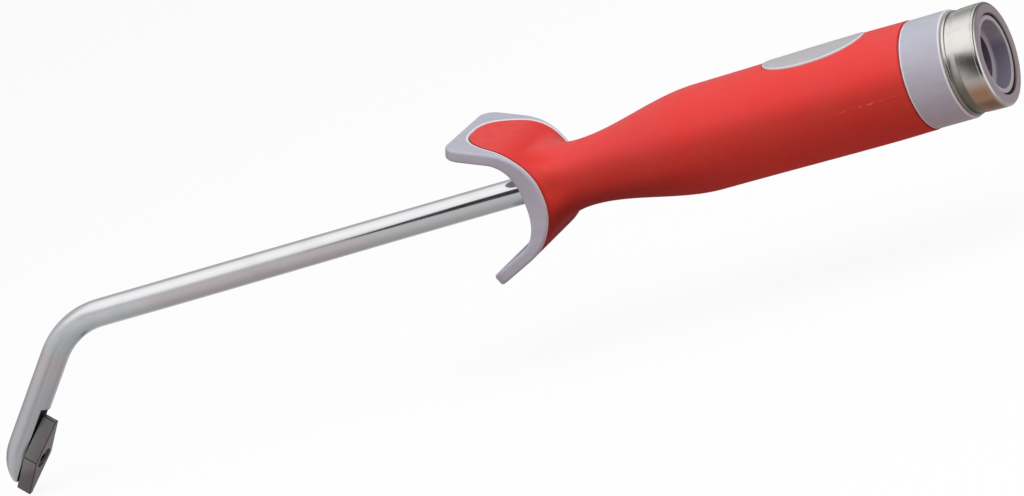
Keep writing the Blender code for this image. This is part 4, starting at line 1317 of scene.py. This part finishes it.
def rectangle_edge(ring_of):
    """Points round the open rectangle, on the rings that ring_of names for a place."""
    first, last, side = WINDOW_FIRST, WINDOW_LAST, WINDOW_SIDE_COLUMNS
    steps = [(first, k) for k in range(-side, side)] + [(i, side) for i in range(first, last)]
    steps += [(last, k) for k in range(side, -side, -1)] + [(i, -side) for i in range(last, first, -1)]
    return [SLEEVE_RINGS[ring_of(i)][k % len(SLEEVE_COLUMNS)] for i, k in steps]


def window_rings():
    """Rings from the outer grid through the window to the grid of the bore."""
    outer = rectangle_edge(lambda i: FIRST_GRIP_RING + i)
    inner = rectangle_edge(lambda i: FIRST_BORE_RING + LAST_GRIP_PLACE - i)

    def outline(grow):
        """The window's outline, grown by a distance, opposite each point of the rectangle."""
        return [pad_reach(point.x - PAD_CENTRE_X, point.y, JOINT_GAP + grow) for point in outer]

    def laid(flat, wall=0.0, drop=0.0):
        """Flat points laid onto the grip, or onto its bore."""
        return [on_round(x, y, grip_radius(x) - wall, drop) for x, y in flat]

    rings = [outer]
    outer_flat, inner_flat = [[(point.x, point.y) for point in ring] for ring in (outer, inner)]
    rings += [laid(between(outer_flat, outline(WINDOW_LIP), share))
              for share in stations(0.0, 1.0, WINDOW_FLAT_STEPS)[1:]]
    rings += [laid(outline(inset), drop=drop) for inset, drop in rounding(WINDOW_LIP)[1:]]
    rings += [laid(between(outline(0.0), inner_flat, share), wall=SLEEVE_WALL)
              for share in stations(0.0, 1.0, 4)[:-1]]
    return rings + [inner]


# The sleeve's edges at the joints get painted shade, and so do the window's lip and wall.
grid_shape = skin(SLEEVE_RINGS, closed=True, leave_out=in_window, edge=on_sleeve_edge)
window_shape = skin(window_rings(), edge=lambda number, column: float(number > WINDOW_FLAT_STEPS))
sleeve_shape = close_up(join(grid_shape, window_shape))
print("open edges in the sleeve:", sum(1 for edge in sleeve_shape.edges if len(edge.link_faces) != 2))
place("red_grip", sleeve_shape, red_rubber, "grip_sleeve")

# %% [markdown]
# ## Striking ring
# The ring is a turned steel band. At its front a thin bead, a groove and a shallow cove lead up to the
# full diameter, which is crowned a little. A fine line marks where the rounding of its end starts, and
# its end face is flat. It is one closed profile swept round the axis.

# %% Striking ring
RING_RADIUS = 14.5
RING_BORE_RADIUS = 11.2
RING_FILLET = 0.9
RING_CROWN = 0.15
RING_CHAMFER = 0.25
BEAD_ROUND = 0.2
BEAD_BACK_ROUND = 0.12
GROOVE_AT = 0.9
GROOVE_WIDTH = 0.3
GROOVE_DEPTH = 0.35
COVE_LENGTH = 1.9
LINE_BEFORE_FILLET = 0.35
LINE_SECTION = ((-0.12, 0.0), (-0.05, 0.08), (0.05, 0.08), (0.12, 0.0))


def ring_profile():
    """Points (x, radius) once round the section of the ring."""
    front = RING_X + FIT_GAP
    groove = front + GROOVE_AT
    cove = groove + GROOVE_WIDTH
    crown_from = cove + COVE_LENGTH
    line = HANDLE_LENGTH - RING_FILLET - LINE_BEFORE_FILLET
    top = RING_RADIUS
    cove_rise = GROOVE_DEPTH - RING_CROWN
    profile = [(front, RING_BORE_RADIUS)]
    profile += arc((front + BEAD_ROUND, top - BEAD_ROUND), BEAD_ROUND, WEST, NORTH, 4)
    profile += arc((groove - BEAD_BACK_ROUND, top - BEAD_BACK_ROUND), BEAD_BACK_ROUND, NORTH, EAST, 3)
    profile += [(groove, top - GROOVE_DEPTH), (cove, top - GROOVE_DEPTH)]
    profile += [(cove + COVE_LENGTH * share, top - RING_CROWN - cove_rise * (1.0 - share ** 1.6))
                for share in (0.2, 0.4, 0.6, 0.8, 0.95, 1.0)]
    profile += [(crown_from + (line - 0.3 - crown_from) * share, top - RING_CROWN * (1.0 - share) ** 2)
                for share in (0.04, 0.15, 0.3, 0.45, 0.6, 0.75, 0.9, 1.0)]
    profile += [(line + offset, top - depth) for offset, depth in LINE_SECTION]
    profile += arc((HANDLE_LENGTH - RING_FILLET, top - RING_FILLET), RING_FILLET, NORTH, EAST, 12)
    profile += [(HANDLE_LENGTH, RING_BORE_RADIUS + RING_CHAMFER),
                (HANDLE_LENGTH - RING_CHAMFER, RING_BORE_RADIUS)]
    return profile


place("steel_ring", turned(ring_profile(), 160), polished_steel, "striking_ring")

# %% [markdown]
# ## Floor
# The tool lies on a wide pale floor. The camera should see almost white there, while the tool should
# not get a flood of light from below. Light Path tells the two apart: what the camera sees is mostly
# a white glow with a little real shading left, so the tool's shadow stays, and every other ray meets
# a dull, warm floor. Mirror-like surfaces don't see the floor, because the world has walls for them.

# %% Floor
FLOOR_DROP = 0.5 * MM
FLOOR_Z = cad_low.z - FLOOR_DROP
FLOOR_HALF = 1.5
FLOOR_WARM = (0.51, 0.37, 0.36, 1.0)
FLOOR_PALE = (0.95, 0.95, 0.95, 1.0)
FLOOR_SHADING = 0.10
WHITE = (1.0, 1.0, 1.0, 1.0)


def make_floor_finish():
    """White to the camera, and dull and warm to the light."""
    material = bpy.data.materials.new("floor_finish")
    material.use_nodes = True
    made = Recipe(material.node_tree)
    made.tree.nodes.clear()
    path = made.add("ShaderNodeLightPath").outputs
    warm, pale = [made.add("ShaderNodeBsdfDiffuse", {"Color": color}) for color in (FLOOR_WARM, FLOOR_PALE)]
    glow = made.add("ShaderNodeEmission", {"Color": WHITE, "Strength": 1.0})
    seen = made.add("ShaderNodeMixShader", {0: FLOOR_SHADING, 1: glow.outputs[0], 2: pale.outputs[0]})
    mixed = made.add("ShaderNodeMixShader", {0: path["Is Camera Ray"], 1: warm.outputs[0],
                                             2: seen.outputs[0]})
    made.add("ShaderNodeOutputMaterial", {"Surface": mixed.outputs[0]})
    return material


floor_shape = bmesh.new()
floor_shape.faces.new([floor_shape.verts.new((x * FLOOR_HALF, y * FLOOR_HALF, FLOOR_Z))
                       for x, y in ((-1, -1), (1, -1), (1, 1), (-1, 1))])
floor = new_object("floor", to_mesh("floor", floor_shape))
floor.data.materials.append(make_floor_finish())
floor.visible_glossy = False
print("floor at", round(FLOOR_Z / MM, 1), "mm")

# %% [markdown]
# ## Studio light
# The photograph has a large soft lamp overhead and pale walls all round. The lamp is an area light.
# The walls are the world: an even, slightly warm light for matt surfaces, and for mirror-like ones a
# studio drawn by direction. It has a bright ceiling, a dark gap between ceiling and wall in front, a
# shaded wall behind, and on the right a bright window and a dark curtain. The gap gives the dark line
# along the bar and the dark band on the ring. It is kept away from the direction that the tip
# reflects, where the photograph shows plain grey. Because all this depends on direction only, it
# stays put when the camera moves.

# %% Lamp
KEY_POWER = 12.6
KEY_SIZE = 1.4
KEY_DISTANCE = 1.3
KEY_DIRECTION = Vector((0.32, -0.34, 0.88)).normalized()
key_data = bpy.data.lights.new("key", "AREA")
key_data.shape = "DISK"
key_data.size = KEY_SIZE
key_data.energy = KEY_POWER
key_light = new_object("key", key_data)
key_light.location = KEY_DIRECTION * KEY_DISTANCE
key_light.rotation_euler = KEY_DIRECTION.to_track_quat("Z", "Y").to_euler()
key_light.visible_glossy = False
print("key light", KEY_POWER, "W")

# %% World
FRONT_WALL = ((-1.0, 0.40), (-0.85, 0.38), (-0.67, 0.44), (-0.38, 0.52), (0.0, 0.56), (0.34, 0.54),
              (0.5, 0.70), (0.62, 0.98), (0.83, 1.10), (1.0, 1.10))
BACK_WALL = ((-1.0, 0.34), (-0.86, 0.34), (-0.76, 0.42), (-0.6, 0.55), (-0.4, 0.62), (-0.18, 0.45),
             (0.0, 0.20), (0.10, 0.30), (0.22, 0.50), (0.53, 0.46), (0.70, 0.70), (0.80, 1.0), (1.0, 1.08))
GAP_GREY = (0.03, 0.03, 0.033, 1.0)
SHADE_TONE = (0.5, 0.5, 0.5, 1.0)
CORNER_TONE = (0.95, 0.80, 0.90, 1.0)
WINDOW_LIGHT = (1.0, 0.98, 0.96, 1.0)
CURTAIN = (0.10, 0.10, 0.11, 1.0)
EVEN_BELOW = (0.42, 0.38, 0.35, 1.0)
EVEN_ABOVE = (0.44, 0.44, 0.45, 1.0)


def wall(made, height, stops):
    """A grey that changes with the height of a direction."""
    node = made.add("ShaderNodeValToRGB", {"Fac": made.line(height, 0.5, 0.5)})
    ramp = node.color_ramp
    while len(ramp.elements) < len(stops):
        ramp.elements.new(0.5)
    for element, (where, _) in zip(ramp.elements, stops):
        element.position = (where + 1.0) / 2.0
    for element, (_, value) in zip(ramp.elements, stops):
        element.color = (value, value, value, 1.0)
    return node.outputs["Color"]


def dark_gap(made, x, z):
    """The gap between ceiling and wall, which is wider and lower towards the right."""
    spread = made.step(x, -0.60, -0.30)
    half = made.math("MINIMUM", made.line(spread, 1.875, -0.484), made.line(spread, 0.48, 0.03))
    middle = made.math("MINIMUM", made.line(spread, -0.789, 0.68), 0.36)
    from_middle = made.math("ABSOLUTE", made.math("SUBTRACT", z, middle))
    softness = made.line(made.product(spread, spread), 0.16, 0.02)
    inside = made.step(made.math("SUBTRACT", from_middle, half), softness, made.product(softness, -1.0))
    seen_by_tip = made.zone((x, -0.37, -0.33), (z, -0.30, -0.42))
    return made.product(inside, made.math("SUBTRACT", 1.0, seen_by_tip))


def back_shade(made, x, z):
    """The shaded parts of the wall behind, which only the ring reflects."""
    upper = made.zone((z, 0.95, 0.75), (z, 0.25, 0.45, 0.0, 0.6))
    both = made.math("ADD", upper, made.step(z, -0.35, -0.50))
    return made.product(made.zone((x, -0.44, -0.38), (x, -0.31, -0.34)), both)


def make_world():
    """White to the camera, even to matt surfaces, and a studio to mirror-like ones."""
    world = bpy.data.worlds.new("studio")
    bpy.context.scene.world = world
    world.use_nodes = True
    made = Recipe(world.node_tree)
    made.tree.nodes.clear()
    path = made.add("ShaderNodeLightPath").outputs
    x, y, z = made.parts(made.add("ShaderNodeTexCoord").outputs["Generated"])
    front = made.step(y, 0.06, -0.06)
    walls = made.mix(front, wall(made, z, BACK_WALL), wall(made, z, FRONT_WALL))
    walls = made.mix(made.product(dark_gap(made, x, z), front), walls, GAP_GREY)
    behind = made.math("SUBTRACT", 1.0, front)
    walls = made.tint(made.product(back_shade(made, x, z), behind), walls, SHADE_TONE)
    walls = made.tint(made.zone((x, 0.0, 0.2), (y, 0.3, 0.7)), walls, CORNER_TONE)
    walls = made.mix(made.zone((x, 0.50, 0.70), (y, 0.3, 0.0)), walls, WINDOW_LIGHT)
    walls = made.mix(made.zone((x, -0.05, 0.10), (x, 0.60, 0.48), (z, 0.0, 0.35)), walls, CURTAIN)
    even = made.mix(made.step(z, -0.5, 0.5), EVEN_BELOW, EVEN_ABOVE)
    seen = made.mix(path["Is Camera Ray"], made.mix(path["Is Glossy Ray"], even, walls), WHITE)
    background = made.add("ShaderNodeBackground", {"Color": seen, "Strength": 1.0})
    made.add("ShaderNodeOutputWorld", {"Surface": background.outputs[0]})
    print("world:", len(made.tree.nodes), "nodes")


make_world()
bpy.context.scene.view_settings.view_transform = "Standard"
